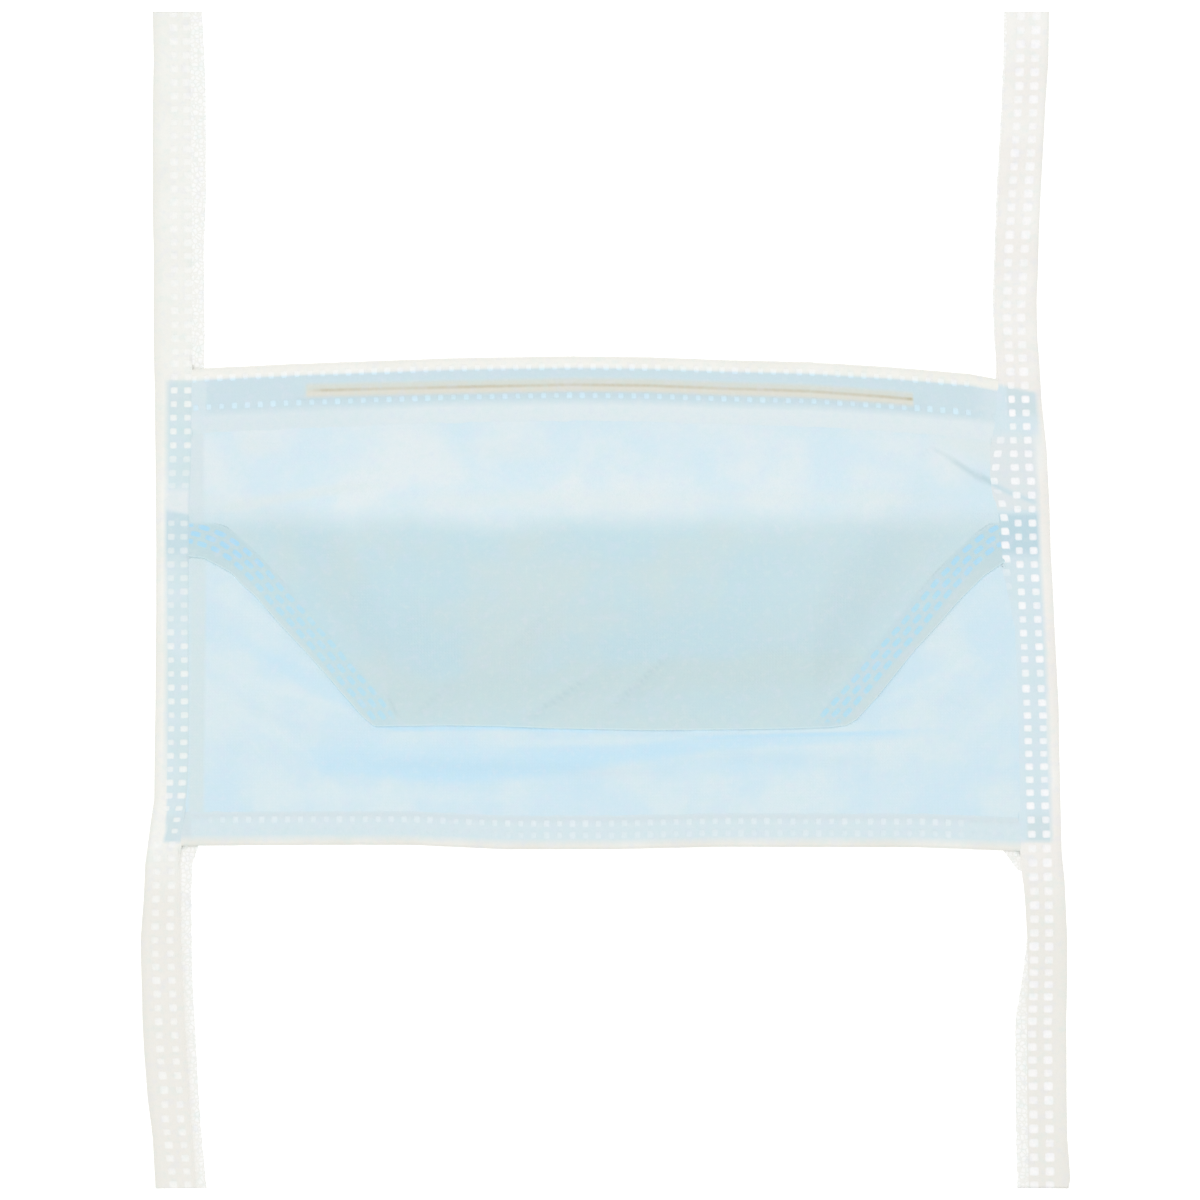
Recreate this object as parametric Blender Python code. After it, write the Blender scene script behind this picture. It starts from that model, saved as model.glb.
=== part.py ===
"""Tie-on pouch face mask, lying flat with its outer side up. Metres, +Z up, the photo's up is +Y.

One sheet of cloth is folded in a Z: the upper panel runs down as the pouch front, turns at the
pouch's bottom fold, returns behind it to the hinge and runs down again as the lower panel. Slanted
welds close the pouch's sides. Folded strips bind all four edges, and the side strips run on as ties.
"""
import bmesh
import bpy

MASK_WIDTH = 0.1772
MASK_HEIGHT = 0.0965
CLOTH = 0.0010
STRIP = 0.0010
CLEAR = 0.0003
WELD = 0.0014

TIE_UP = 0.0682
TIE_DOWN = 0.0672
TIE_WIDTH = 0.0098
TIE_THICK = 0.0014
TIE_RAMP = 0.0060

TOP_BAND = 0.0132
BOTTOM_BAND = 0.0072
WIRE_LENGTH = 0.1190
WIRE_WIDTH = 0.0030
WIRE_THICK = 0.0008

HINGE_SHARE = 0.678
POUCH_RISE = 0.0054
POUCH_EASE = 0.0180
PANEL_EASE = 0.0160
SIDE_EASE = 0.0200
EDGE_EASE = 0.0080
STEP_RAMP = 0.0072

HALF = MASK_WIDTH / 2
EDGE_Z = STRIP + CLEAR
LAYER = CLOTH + CLEAR
SLOT_TOP = EDGE_Z + CLOTH + CLEAR
ROOF = SLOT_TOP + STRIP
BIND_IN = STRIP + CLEAR
FLAT_X = HALF - TIE_WIDTH * 1.06 - CLEAR
HINGE_R = CLOTH + CLEAR / 2

# x as a share of the half width, y as a share of the mask's height from its lower edge
TOP_EDGE = [
    ("x", "y"),
    (-1.000, 0.970), (-0.878, 0.978), (-0.700, 0.986), (-0.523, 0.992), (-0.345, 0.998),
    (-0.079, 1.002), (0.099, 1.000), (0.276, 0.994), (0.454, 0.990), (0.631, 0.980),
    (0.809, 0.966), (0.900, 0.950), (1.000, 0.934),
]
BOTTOM_EDGE = [
    ("x", "y"),
    (-1.000, 0.004), (-0.611, 0.006), (-0.434, 0.006), (-0.220, -0.003), (0.010, -0.003),
    (0.250, 0.002), (0.700, 0.001), (0.900, -0.006), (1.000, -0.008),
]
POUCH_EDGE = [
    ("x", "y"),
    (-1.000, 0.603), (-0.893, 0.593), (-0.829, 0.566), (-0.789, 0.540), (-0.745, 0.499),
    (-0.667, 0.418), (-0.611, 0.358), (-0.567, 0.308), (-0.518, 0.246), (-0.345, 0.252),
    (-0.283, 0.255), (-0.190, 0.246), (-0.012, 0.240), (0.210, 0.240), (0.431, 0.244),
    (0.543, 0.250), (0.580, 0.268), (0.654, 0.350), (0.709, 0.413), (0.765, 0.470),
    (0.820, 0.530), (0.875, 0.574), (0.909, 0.591), (1.000, 0.606),
]
WELD_EDGE = [
    ("x", "y"),
    (-1.000, 0.684), (-0.900, 0.672), (-0.844, 0.654), (-0.800, 0.621), (-0.762, 0.587),
    (-0.700, 0.525), (-0.633, 0.454), (-0.567, 0.383), (-0.500, 0.308), (-0.451, 0.250),
    (0.455, 0.250), (0.520, 0.321), (0.587, 0.394), (0.654, 0.470), (0.724, 0.547),
    (0.770, 0.593), (0.824, 0.638), (0.870, 0.668), (1.000, 0.682),
]
# run is 0 to 1 up the mask, 1 to 2 up the upper free end and 0 to -1 down the lower one
LEFT_TIE = [
    ("run", "outer", "width"),
    (-1.000, 1.000, 1.023), (-0.854, 1.006, 0.983), (-0.737, 1.017, 1.023), (-0.620, 1.024, 1.043),
    (-0.503, 1.029, 1.043), (-0.386, 1.031, 1.023), (-0.269, 1.033, 1.023), (-0.152, 1.026, 0.953),
    (-0.050, 1.023, 0.943), (0.006, 1.017, 1.020), (0.098, 1.003, 1.003), (0.301, 1.000, 0.963),
    (0.607, 0.998, 0.943), (0.811, 1.000, 0.963), (0.953, 1.002, 0.983), (1.049, 1.004, 1.023),
    (1.308, 1.004, 1.003), (1.452, 1.006, 1.063), (1.741, 1.006, 1.063), (1.856, 1.004, 1.023),
    (2.000, 1.006, 0.983),
]
RIGHT_TIE = [
    ("run", "outer", "width"),
    (-1.000, 1.029, 1.023), (-0.971, 1.033, 1.063), (-0.854, 1.026, 1.023), (-0.620, 1.024, 1.023),
    (-0.503, 1.024, 1.020), (-0.386, 1.026, 0.903), (-0.269, 1.026, 0.802), (-0.152, 1.022, 0.762),
    (-0.094, 1.020, 0.762), (-0.058, 1.017, 0.780), (-0.022, 1.014, 1.060), (0.000, 1.013, 0.923),
    (0.098, 1.011, 0.903), (0.301, 1.006, 0.923), (0.505, 0.995, 0.843), (0.607, 0.989, 0.823),
    (0.709, 0.986, 0.903), (0.811, 0.980, 0.863), (0.912, 0.969, 0.822), (0.984, 0.964, 0.863),
    (1.049, 0.960, 0.863), (1.164, 0.958, 0.883), (1.452, 0.966, 0.883), (1.741, 0.978, 0.883),
    (1.856, 0.984, 0.903), (2.000, 0.986, 0.903),
]
# the wire's middle line, below the top edge, as a share of the top band
WIRE_LINE = [
    ("x", "drop"),
    (-0.680, 0.400), (-0.345, 0.430), (0.010, 0.420), (0.365, 0.425), (0.690, 0.450),
]
# soft folds: their ends as shares, their rise as a share of the cloth and their width of the height
FRONT_FOLDS = [
    ("x0", "y0", "x1", "y1", "rise", "width"),
    (0.720, 0.830, 0.900, 0.715, 0.70, 0.036),
    (-0.188, 0.253, -0.025, 0.356, 0.45, 0.034),
    (-0.012, 0.263, 0.154, 0.405, 0.45, 0.034),
    (-0.230, 0.385, -0.125, 0.481, 0.35, 0.040),
    (-0.405, 0.271, -0.334, 0.348, 0.30, 0.032),
]
LOWER_FOLDS = [
    ("x0", "y0", "x1", "y1", "rise", "width"),
    (-0.600, 0.195, 0.180, 0.170, 0.75, 0.040),
    (0.150, 0.205, 0.640, 0.190, 0.60, 0.036),
    (-0.860, 0.330, -0.560, 0.225, 0.55, 0.044),
    (0.720, 0.330, 0.900, 0.300, 0.45, 0.044),
]
BODY_X = [
    0.000, 0.014, 0.034, 0.055, 0.078, 0.098, 0.118, 0.140, 0.162, 0.184, 0.206, 0.228, 0.248,
    0.272, 0.310, 0.350, 0.395, 0.445, 0.500, 0.555, 0.605, 0.650, 0.690, 0.728, 0.752, 0.772,
    0.794, 0.816, 0.838, 0.860, 0.882, 0.902, 0.922, 0.945, 0.966, 0.986, 1.000,
]


def lookup(table, at, column):
    """Reads a column of a table, straight between its rows."""
    col = table[0].index(column)
    rows = table[1:]
    if at <= rows[0][0]:
        return rows[0][col]
    for low, high in zip(rows, rows[1:]):
        if at <= high[0]:
            share = (at - low[0]) / (high[0] - low[0])
            return low[col] + share * (high[col] - low[col])
    return rows[-1][col]


def smooth(t):
    t = min(max(t, 0.0), 1.0)
    return t * t * (3 - 2 * t)


def swell(t):
    """Rises steeply from 0 and levels off at 1."""
    t = min(max(t, 0.0), 1.0)
    return 1 - (1 - t) ** 2


def height_y(share):
    return MASK_HEIGHT * (share - 0.5)


def edge_y(table, x):
    return height_y(lookup(table, x / HALF, "y"))


def run_y(run):
    if run > 1:
        return height_y(1.0) + (run - 1) * TIE_UP
    if run < 0:
        return height_y(0.0) + run * TIE_DOWN
    return height_y(run)


def y_run(y):
    if y > height_y(1.0):
        return 1 + (y - height_y(1.0)) / TIE_UP
    if y < height_y(0.0):
        return (y - height_y(0.0)) / TIE_DOWN
    return y / MASK_HEIGHT + 0.5


def tie_x(side, y, inward):
    """A side strip's outer edge moved inward, or its inner edge where inward is None."""
    table = LEFT_TIE if side < 0 else RIGHT_TIE
    run = y_run(y)
    outer = lookup(table, run, "outer") * HALF
    if inward is None:
        inward = lookup(table, run, "width") * TIE_WIDTH
    return side * (outer - inward)


def chord(low, high, inward, clear):
    """The two straight lines in (y, x) that keep clear of the side strips from low to high."""
    ends = []
    for side in (-1, 1):
        first = tie_x(side, low, inward)
        turn = (tie_x(side, high, inward) - first) / (high - low)
        near = 0.0
        for y in spread(low, high, 25):
            near = max(near, side * (first + turn * (y - low) - tie_x(side, y, inward)))
        ends.append((low, first - side * (near + clear), turn))
    return ends


def between(ends, y, share):
    """x at a share of the way from the left line to the right one."""
    left, right = (first + turn * (y - low) for low, first, turn in ends)
    return left + share * (right - left)


def side_rise(y):
    """1 where the pouch's layers lie over the lower panel at the mask's sides, else 0."""
    fold = min(edge_y(POUCH_EDGE, -HALF), edge_y(POUCH_EDGE, HALF))
    low = smooth((y - fold + MASK_HEIGHT * 0.045) / (MASK_HEIGHT * 0.035))
    high = 1 - smooth((y - height_y(HINGE_SHARE) - CLOTH) / STEP_RAMP)
    return min(low, high)


def folds(table, x, y):
    """The soft folds of a panel, each a rounded ridge that fades at its ends."""
    total = 0.0
    for x0, y0, x1, y1, rise, width in table[1:]:
        ax = x0 * HALF
        ay = height_y(y0)
        dx = x1 * HALF - ax
        dy = height_y(y1) - ay
        long = dx * dx + dy * dy
        along = ((x - ax) * dx + (y - ay) * dy) / long
        off = abs((x - ax) * dy - (y - ay) * dx) / long ** 0.5
        ends = smooth((along + 0.15) / 0.4) * smooth((1.15 - along) / 0.4)
        total += rise * CLOTH * ends * smooth(1 - off / (width * MASK_HEIGHT))
    return total


def lower_z(x, y):
    """Underside of the lower panel: on the ground, lifted into the strips at its edges."""
    side = smooth((FLAT_X - abs(x)) / EDGE_EASE)
    foot = smooth((y - edge_y(BOTTOM_EDGE, x) - BOTTOM_BAND - CLEAR) / EDGE_EASE)
    wave = folds(LOWER_FOLDS, x, y) * side * foot
    return EDGE_Z * (1 - side * foot) + wave


def belly(x, y, seam):
    """How far the pouch front and upper panel stand off the layers behind them."""
    top = edge_y(TOP_EDGE, x) - TOP_BAND - CLEAR
    up = swell((y - seam) / POUCH_EASE)
    down = swell((top - y) / PANEL_EASE)
    return POUCH_RISE * up * down * swell((FLAT_X - abs(x)) / SIDE_EASE)


def front_z(x, y, seam):
    """Underside of the pouch front and of the upper panel above it."""
    hinge = height_y(HINGE_SHARE)
    below = edge_y(TOP_EDGE, x) - TOP_BAND - CLEAR - y
    lift = folds(FRONT_FOLDS, x, y) * smooth(min(FLAT_X - abs(x), below) / EDGE_EASE)
    if y <= hinge:
        return lower_z(x, y) + 2 * LAYER + belly(x, y, seam) + lift
    behind = lower_z(x, hinge) + 2 * LAYER
    return EDGE_Z + (behind - EDGE_Z) * side_rise(y) + belly(x, y, seam) + lift


def spread(first, last, count):
    return [first + (last - first) * i / (count - 1) for i in range(count)]


def cloth_sides():
    return chord(height_y(0.0), height_y(1.0), 0.0, STRIP + CLEAR)


def body_section(share):
    """The cloth's outline at one place across the mask, as (x, y, z) round the Z fold."""
    sides = cloth_sides()

    def x(y):
        return between(sides, y, share)

    def low(y):
        return lower_z(x(y), y)

    hinge = height_y(HINGE_SHARE)
    turn = hinge - HINGE_R
    fold = edge_y(POUCH_EDGE, x(height_y(0.5)))
    fold = edge_y(POUCH_EDGE, x(fold))
    seam = edge_y(WELD_EDGE, x(fold))
    seam = min(max(seam, fold + CLOTH * 1.3), turn - CLOTH / 2)
    top = edge_y(TOP_EDGE, x(height_y(1.0))) - BIND_IN
    bottom = edge_y(BOTTOM_EDGE, x(height_y(0.0))) + BIND_IN

    def front(y):
        return front_z(x(y), y, seam)

    def weld(y):
        thin = smooth((seam - y) / max(seam - fold, CLOTH))
        return low(y) + LAYER + WELD + (1 - thin) * (LAYER + CLOTH - WELD)

    band = top + BIND_IN - TOP_BAND - CLEAR
    face = [top, (top + band) / 2] + spread(band, hinge, 8)
    face.insert(-1, hinge + (face[-2] - hinge) * 0.45)
    face += spread(hinge, seam, 8)[1:]
    panel = spread(turn, fold - CLEAR, 4) + spread(fold - 2 * CLOTH, bottom + BOTTOM_BAND, 5)
    panel += [bottom]

    outer = [(y, front(y) + CLOTH) for y in face]
    outer += [(y, weld(y)) for y in spread(seam, fold + CLOTH / 2, 3)[1:]]
    tip = low(fold) + LAYER
    outer += [(fold + CLOTH * 0.12, tip + WELD * 0.75), (fold, tip + WELD * 0.4)]
    outer += [(fold + CLOTH * 0.2, tip)]
    outer += [(y, low(y) + LAYER) for y in spread(fold, turn, 5)[1:]]
    outer += [(turn + CLEAR / 2, low(turn) + CLOTH + CLEAR / 2)]
    outer += [(y, low(y) + CLOTH) for y in panel]

    inner = [(y, front(y)) for y in face[:-1]]
    inner += [(seam, low(seam) + 2 * LAYER), (seam, low(seam) + LAYER + CLOTH)]
    inner += [(y, low(y) + LAYER + CLOTH) for y in spread(seam, turn, 5)[1:]]
    for out, up in ((0.71, 1.71), (1.0, 1.0), (0.71, 0.29)):
        inner += [(turn + out * HINGE_R, low(hinge) + up * HINGE_R)]
    inner += [(y, low(y)) for y in panel]
    return [(x(y), y, z) for y, z in outer + inner[::-1]]


def tie_stations(side):
    """The y of each cross-section of a tie: its table's rows, the mask's corners and the steps."""
    table = LEFT_TIE if side < 0 else RIGHT_TIE
    top = edge_y(TOP_EDGE, side * HALF)
    bottom = edge_y(BOTTOM_EDGE, side * HALF)
    fold = edge_y(POUCH_EDGE, side * HALF)
    hinge = height_y(HINGE_SHARE)
    at = [run_y(row[0]) for row in table[1:]]
    at += [top + TIE_RAMP * k for k in (0.0, 0.35, 0.7, 1.0)]
    at += [bottom - TIE_RAMP * k for k in (0.0, 0.35, 0.7, 1.0)]
    at += [fold - MASK_HEIGHT * k for k in (0.045, 0.034, 0.022, 0.010)]
    at += [hinge + CLOTH + STEP_RAMP * k for k in (0.0, 0.3, 0.6, 1.0)]
    kept = []
    for y in sorted(at):
        if not kept or y - kept[-1] > CLOTH * 0.6:
            kept.append(y)
    return kept


def tie_top(side, y):
    """Height of a tie: thin where it runs free, and over the cloth where it binds the mask."""
    top = edge_y(TOP_EDGE, side * HALF * 0.9)
    bottom = edge_y(BOTTOM_EDGE, side * HALF)
    outside = max(y - top, bottom - y, 0.0) / TIE_RAMP
    over = ROOF + 2 * LAYER * side_rise(y)
    return TIE_THICK + (over - TIE_THICK) * (1 - smooth(outside))


def tie_ring(side, y):
    outer = tie_x(side, y, 0.0)
    inner = tie_x(side, y, None)
    high = tie_top(side, y)
    soft = TIE_THICK * 0.4
    step = soft if inner > outer else -soft
    return [
        (outer + step, y, 0.0), (outer, y, soft), (outer, y, high - soft),
        (outer + step, y, high), (inner - step * 0.5, y, high), (inner, y, high - soft * 0.5),
        (inner, y, soft * 0.5), (inner - step * 0.5, y, 0.0),
    ]


def slot_ring(side, y):
    """The space in a side strip that the mask's layered edge fills, with clearance round it."""
    deep = between(cloth_sides(), y, (side + 1) / 2) + side * CLEAR
    mouth = tie_x(side, y, None) - side * TIE_WIDTH * 0.4
    high = SLOT_TOP + 2 * LAYER * side_rise(y)
    return [(deep, y, STRIP), (deep, y, high), (mouth, y, high), (mouth, y, STRIP)]


def binding_section(share, table, width, down, rib):
    """A folded strip's C outline at one place along it. down is -1 below a top edge, 1 above."""
    middle = edge_y(table, 0.0)
    ends = chord(middle + down * width * 1.3, middle - down * width * 0.1, None, CLEAR)
    mid_x = between(ends, middle, share)
    fold = edge_y(table, mid_x)
    free = fold + down * width
    wall = fold + down * STRIP
    soft = STRIP * 0.45
    outer = [(free, 0.0), (fold + down * soft, 0.0), (fold, soft), (fold, ROOF - soft)]
    outer += [(fold + down * soft, ROOF)]
    inner = [(free, STRIP), (wall, STRIP), (wall, SLOT_TOP)]
    if rib is not None:
        line, lift = rib
        half = WIRE_WIDTH / 2 + CLEAR
        rise = lift * (WIRE_THICK + CLEAR)
        for off, up in ((half + STRIP, 0), (half + STRIP * 0.4, 1), (-half - STRIP * 0.4, 1)):
            outer += [(line + off, ROOF + up * rise)]
        outer += [(line - half - STRIP, ROOF)]
        for off, up in ((half, 0), (half - CLEAR / 3, 1), (CLEAR / 3 - half, 1), (-half, 0)):
            inner += [(line + off, SLOT_TOP + up * rise)]
    outer += [(free, ROOF)]
    inner += [(free, SLOT_TOP)]
    return [(between(ends, y, share), y, z) for y, z in outer + inner[::-1]]


def wire_y(x):
    return edge_y(TOP_EDGE, x) - lookup(WIRE_LINE, x / HALF, "drop") * TOP_BAND


def top_section(share):
    mid_x = (share - 0.5) * 2 * FLAT_X
    past = abs(mid_x) - WIRE_LENGTH / 2 - CLEAR
    lift = 1 - smooth(past / (STRIP * 3))
    return binding_section(share, TOP_EDGE, TOP_BAND, -1, (wire_y(mid_x), lift))


def bottom_section(share):
    return binding_section(share, BOTTOM_EDGE, BOTTOM_BAND, 1, None)


def wire_ring(x):
    """Stands off the bound cloth by the clearance, half below and half above the wire."""
    y = wire_y(x)
    low = EDGE_Z + CLOTH + CLEAR
    half = WIRE_WIDTH / 2
    return [
        (x, y - half, low), (x, y + half, low),
        (x, y + half * 0.8, low + WIRE_THICK), (x, y - half * 0.8, low + WIRE_THICK),
    ]


def loft(name, rings, where):
    """Joins closed outlines of the same count into one closed solid with flat ends."""
    mesh = bpy.data.meshes.new(name)
    bm = bmesh.new()
    loops = [[bm.verts.new(point) for point in ring] for ring in rings]
    count = len(loops[0])
    for near, far in zip(loops, loops[1:]):
        for i in range(count):
            j = (i + 1) % count
            bm.faces.new((near[i], near[j], far[j], far[i]))
    ends = [bm.faces.new(loops[0][::-1]), bm.faces.new(loops[-1])]
    bm.normal_update()
    bmesh.ops.triangulate(bm, faces=ends, quad_method="BEAUTY", ngon_method="BEAUTY")
    bmesh.ops.recalc_face_normals(bm, faces=bm.faces)
    bm.to_mesh(mesh)
    bm.free()
    made = bpy.data.objects.new(name, mesh)
    where.objects.link(made)
    return made


def material(name, colour, rough, metal=0.0):
    made = bpy.data.materials.new(name)
    made.use_nodes = True
    shader = made.node_tree.nodes["Principled BSDF"]
    shader.inputs["Base Color"].default_value = (*colour, 1.0)
    shader.inputs["Roughness"].default_value = rough
    shader.inputs["Metallic"].default_value = metal
    return made


def cut(target, cutter):
    mod = target.modifiers.new("slot", "BOOLEAN")
    mod.operation = "DIFFERENCE"
    mod.solver = "EXACT"
    mod.object = cutter
    cutter.display_type = "WIRE"
    cutter.hide_render = True


def make_tie(name, side, where, tools):
    tie = loft(name, [tie_ring(side, y) for y in tie_stations(side)], where)
    tops = [edge_y(TOP_EDGE, x) for x in (side * HALF, side * (FLAT_X - TIE_WIDTH * 0.4))]
    feet = [edge_y(BOTTOM_EDGE, x) for x in (side * HALF, side * (FLAT_X - TIE_WIDTH * 0.4))]
    high = max(tops) - STRIP
    low = min(feet) + STRIP
    inside = [y for y in tie_stations(side) if low + CLOTH < y < high - CLOTH]
    cutter = loft(name + "_slot", [slot_ring(side, y) for y in [low] + inside + [high]], tools)
    cut(tie, cutter)
    return tie


def recentre(objects):
    """Puts the middle of all pieces over the origin, with the lowest point on the ground."""
    points = [v.co for made in objects for v in made.data.vertices]
    low = [min(p[i] for p in points) for i in range(3)]
    high = [max(p[i] for p in points) for i in range(3)]
    shift = (-(low[0] + high[0]) / 2, -(low[1] + high[1]) / 2, -low[2])
    for made in objects:
        for v in made.data.vertices:
            v.co = [v.co[i] + shift[i] for i in range(3)]


def main():
    for old in list(bpy.data.objects):
        bpy.data.objects.remove(old)
    mask = bpy.data.collections.new("surgical_face_mask")
    tools = bpy.data.collections.new("cutters")
    bpy.context.scene.collection.children.link(mask)
    bpy.context.scene.collection.children.link(tools)

    body = loft("mask_body", [body_section(share) for share in BODY_X], mask)
    top = loft("top_binding", [top_section(share) for share in TOP_X], mask)
    bottom = loft("bottom_binding", [bottom_section(share) for share in spread(0.0, 1.0, 19)], mask)
    wire = loft("nose_wire", [wire_ring(x) for x in spread(-WIRE_LENGTH / 2, WIRE_LENGTH / 2, 17)], mask)
    left = make_tie("left_tie", -1, mask, tools)
    right = make_tie("right_tie", 1, mask, tools)
    recentre(list(mask.objects) + list(tools.objects))

    blue = material("blue_nonwoven", (0.55, 0.76, 0.86), 0.85)
    pieces = (
        (body, blue),
        (top, material("top_strip_nonwoven", (0.86, 0.88, 0.86), 0.85)),
        (bottom, material("bottom_strip_nonwoven", (0.86, 0.88, 0.86), 0.85)),
        (wire, material("coated_wire", (0.55, 0.42, 0.30), 0.45, 0.4)),
        (left, material("left_tie_nonwoven", (0.88, 0.88, 0.84), 0.85)),
        (right, material("right_tie_nonwoven", (0.88, 0.88, 0.84), 0.85)),
    )
    for made, skin in pieces:
        made.data.materials.append(skin)


TOP_X = [
    0.00, 0.04, 0.08, 0.112, 0.120, 0.130, 0.17, 0.22, 0.27, 0.32, 0.37, 0.42, 0.47, 0.52, 0.57,
    0.62, 0.67, 0.72, 0.77, 0.82, 0.862, 0.874, 0.886, 0.92, 0.96, 1.00,
]

main()
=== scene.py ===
"""Tie-on pouch face mask, lying flat: the folded cloth, its four strips and the nose wire.

The side strips run on as the ties. Metres, +Z up, and the photograph's up is +Y.
"""
import math

import bmesh
import bpy
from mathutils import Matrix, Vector, noise


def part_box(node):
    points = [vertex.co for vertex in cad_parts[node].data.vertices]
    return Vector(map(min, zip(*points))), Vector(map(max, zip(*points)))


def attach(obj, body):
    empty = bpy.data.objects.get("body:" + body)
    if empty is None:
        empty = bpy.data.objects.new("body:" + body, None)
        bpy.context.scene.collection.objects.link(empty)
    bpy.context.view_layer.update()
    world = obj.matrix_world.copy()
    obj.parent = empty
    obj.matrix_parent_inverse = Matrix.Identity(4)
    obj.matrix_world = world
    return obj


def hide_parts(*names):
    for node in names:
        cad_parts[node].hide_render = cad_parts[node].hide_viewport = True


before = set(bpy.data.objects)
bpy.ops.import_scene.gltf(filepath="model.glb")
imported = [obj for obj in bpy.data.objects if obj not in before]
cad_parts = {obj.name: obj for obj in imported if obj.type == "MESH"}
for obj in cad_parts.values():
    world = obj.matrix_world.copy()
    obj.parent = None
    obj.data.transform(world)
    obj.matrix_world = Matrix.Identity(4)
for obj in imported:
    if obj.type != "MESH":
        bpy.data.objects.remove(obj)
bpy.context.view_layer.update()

MM = 0.001
# sizes of the part
MASK_WIDTH = 0.1772
MASK_HEIGHT = 0.0965
CLOTH = 0.0010
STRIP = 0.0010
CLEAR = 0.0003
TIE_UP = 0.0682
TIE_DOWN = 0.0672
TIE_WIDTH = 0.0098
TIE_RAMP = 0.0060
TOP_BAND = 0.0132
BOTTOM_BAND = 0.0072
WIRE_LENGTH = 0.1190
WIRE_WIDTH = 0.0030
WIRE_CORE = 0.00016
HINGE_SHARE = 0.678
POUCH_RISE = 0.0076
POUCH_EASE = 0.0260
PANEL_EASE = 0.0240
SIDE_EASE = 0.0360
EDGE_EASE = 0.0080
STEP_RAMP = 0.0072
HALF = MASK_WIDTH / 2
BIND_IN = STRIP + CLEAR
FLAT_X = HALF - TIE_WIDTH * 1.06 - CLEAR
HINGE_R = CLOTH + CLEAR / 2
MIDDLE_Y = -0.0005

# the thin real cloth: walls of the mask and of the strips, air between layers, and their middles' heights
WALL = 0.00025
LEAF = 0.00020
REST = 0.00002
UNDER_Z = 0.00013
FLAT_Z = 0.00018
BOUND_Z = 0.00064
BACK_RISE = 0.00031
FRONT_RISE = 0.00028
TIP = 0.00030
# the photograph: a pixel's width in metres, the object's middle in it, and its side in pixels
PIXEL = 0.0001966
MIDDLE_PX = 605.5
MIDDLE_PY = 600.0
PICTURE = 1200
SENSOR_MM = 36.0
CAMERA_Z = 1.2
SCALE_DISTANCE = 1.197
# pitch of the dots down a tie, and how far from a dot's middle its leaf is cut into faces, all in mm
BEAT_MM = 2.69
DOT_IN = 0.46
DOT_OUT = 0.6

TOP_EDGE = [
    ("x", "y"),
    (-1.000, 0.970), (-0.878, 0.978), (-0.700, 0.986), (-0.523, 0.992), (-0.345, 0.998),
    (-0.079, 1.002), (0.099, 1.000), (0.276, 0.994), (0.454, 0.990), (0.631, 0.980),
    (0.809, 0.966), (0.900, 0.950), (1.000, 0.934),
]
BOTTOM_EDGE = [
    ("x", "y"),
    (-1.000, 0.004), (-0.611, 0.006), (-0.434, 0.006), (-0.220, -0.003), (0.010, -0.003),
    (0.250, 0.002), (0.700, 0.001), (0.900, -0.006), (1.000, -0.008),
]
POUCH_EDGE = [
    ("x", "y"),
    (-1.000, 0.603), (-0.893, 0.595), (-0.832, 0.565), (-0.808, 0.541), (-0.777, 0.516),
    (-0.730, 0.467), (-0.681, 0.418), (-0.657, 0.394), (-0.633, 0.370), (-0.609, 0.345),
    (-0.588, 0.321), (-0.563, 0.296), (-0.541, 0.272), (-0.514, 0.251), (-0.345, 0.253),
    (-0.234, 0.251), (-0.123, 0.247), (-0.012, 0.245), (0.099, 0.243), (0.210, 0.244), (0.321, 0.245),
    (0.432, 0.247), (0.498, 0.249), (0.534, 0.253), (0.558, 0.265), (0.603, 0.310), (0.647, 0.361),
    (0.690, 0.410), (0.739, 0.459), (0.785, 0.508), (0.839, 0.557), (0.883, 0.585), (0.915, 0.596),
    (1.000, 0.606),
]
WELD_EDGE = [
    ("x", "y"),
    (-1.000, 0.684), (-0.900, 0.672), (-0.844, 0.654), (-0.800, 0.621), (-0.762, 0.587),
    (-0.700, 0.525), (-0.633, 0.454), (-0.567, 0.383), (-0.500, 0.308), (-0.451, 0.250),
    (0.455, 0.250), (0.520, 0.321), (0.587, 0.394), (0.654, 0.470), (0.724, 0.547),
    (0.770, 0.593), (0.824, 0.638), (0.870, 0.668), (1.000, 0.682),
]
LEFT_TIE = [
    ("run", "outer", "width"),
    (-1.000, 1.000, 1.023), (-0.854, 1.006, 0.983), (-0.737, 1.017, 1.023), (-0.620, 1.024, 1.043),
    (-0.503, 1.029, 1.043), (-0.386, 1.031, 1.023), (-0.269, 1.033, 1.023), (-0.152, 1.026, 0.953),
    (-0.050, 1.023, 0.943), (0.006, 1.017, 1.020), (0.098, 1.003, 1.003), (0.301, 1.000, 0.963),
    (0.607, 0.998, 0.943), (0.811, 1.000, 0.963), (0.953, 1.002, 0.983), (1.049, 1.004, 1.023),
    (1.308, 1.004, 1.003), (1.452, 1.006, 1.063), (1.741, 1.006, 1.063), (1.856, 1.004, 1.023),
    (2.000, 1.006, 0.983),
]
RIGHT_TIE = [
    ("run", "outer", "width"),
    (-1.000, 1.029, 1.023), (-0.971, 1.033, 1.063), (-0.854, 1.026, 1.023), (-0.620, 1.024, 1.023),
    (-0.503, 1.024, 1.020), (-0.386, 1.026, 0.903), (-0.269, 1.026, 0.802), (-0.152, 1.022, 0.762),
    (-0.094, 1.020, 0.762), (-0.058, 1.017, 0.780), (-0.022, 1.014, 1.060), (0.000, 1.013, 0.923),
    (0.098, 1.011, 0.903), (0.301, 1.006, 0.923), (0.505, 0.995, 0.843), (0.607, 0.989, 0.823),
    (0.709, 0.986, 0.903), (0.811, 0.980, 0.863), (0.912, 0.969, 0.822), (0.984, 0.964, 0.863),
    (1.049, 0.960, 0.863), (1.164, 0.958, 0.883), (1.452, 0.966, 0.883), (1.741, 0.978, 0.883),
    (1.856, 0.984, 0.903), (2.000, 0.986, 0.903),
]
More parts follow.
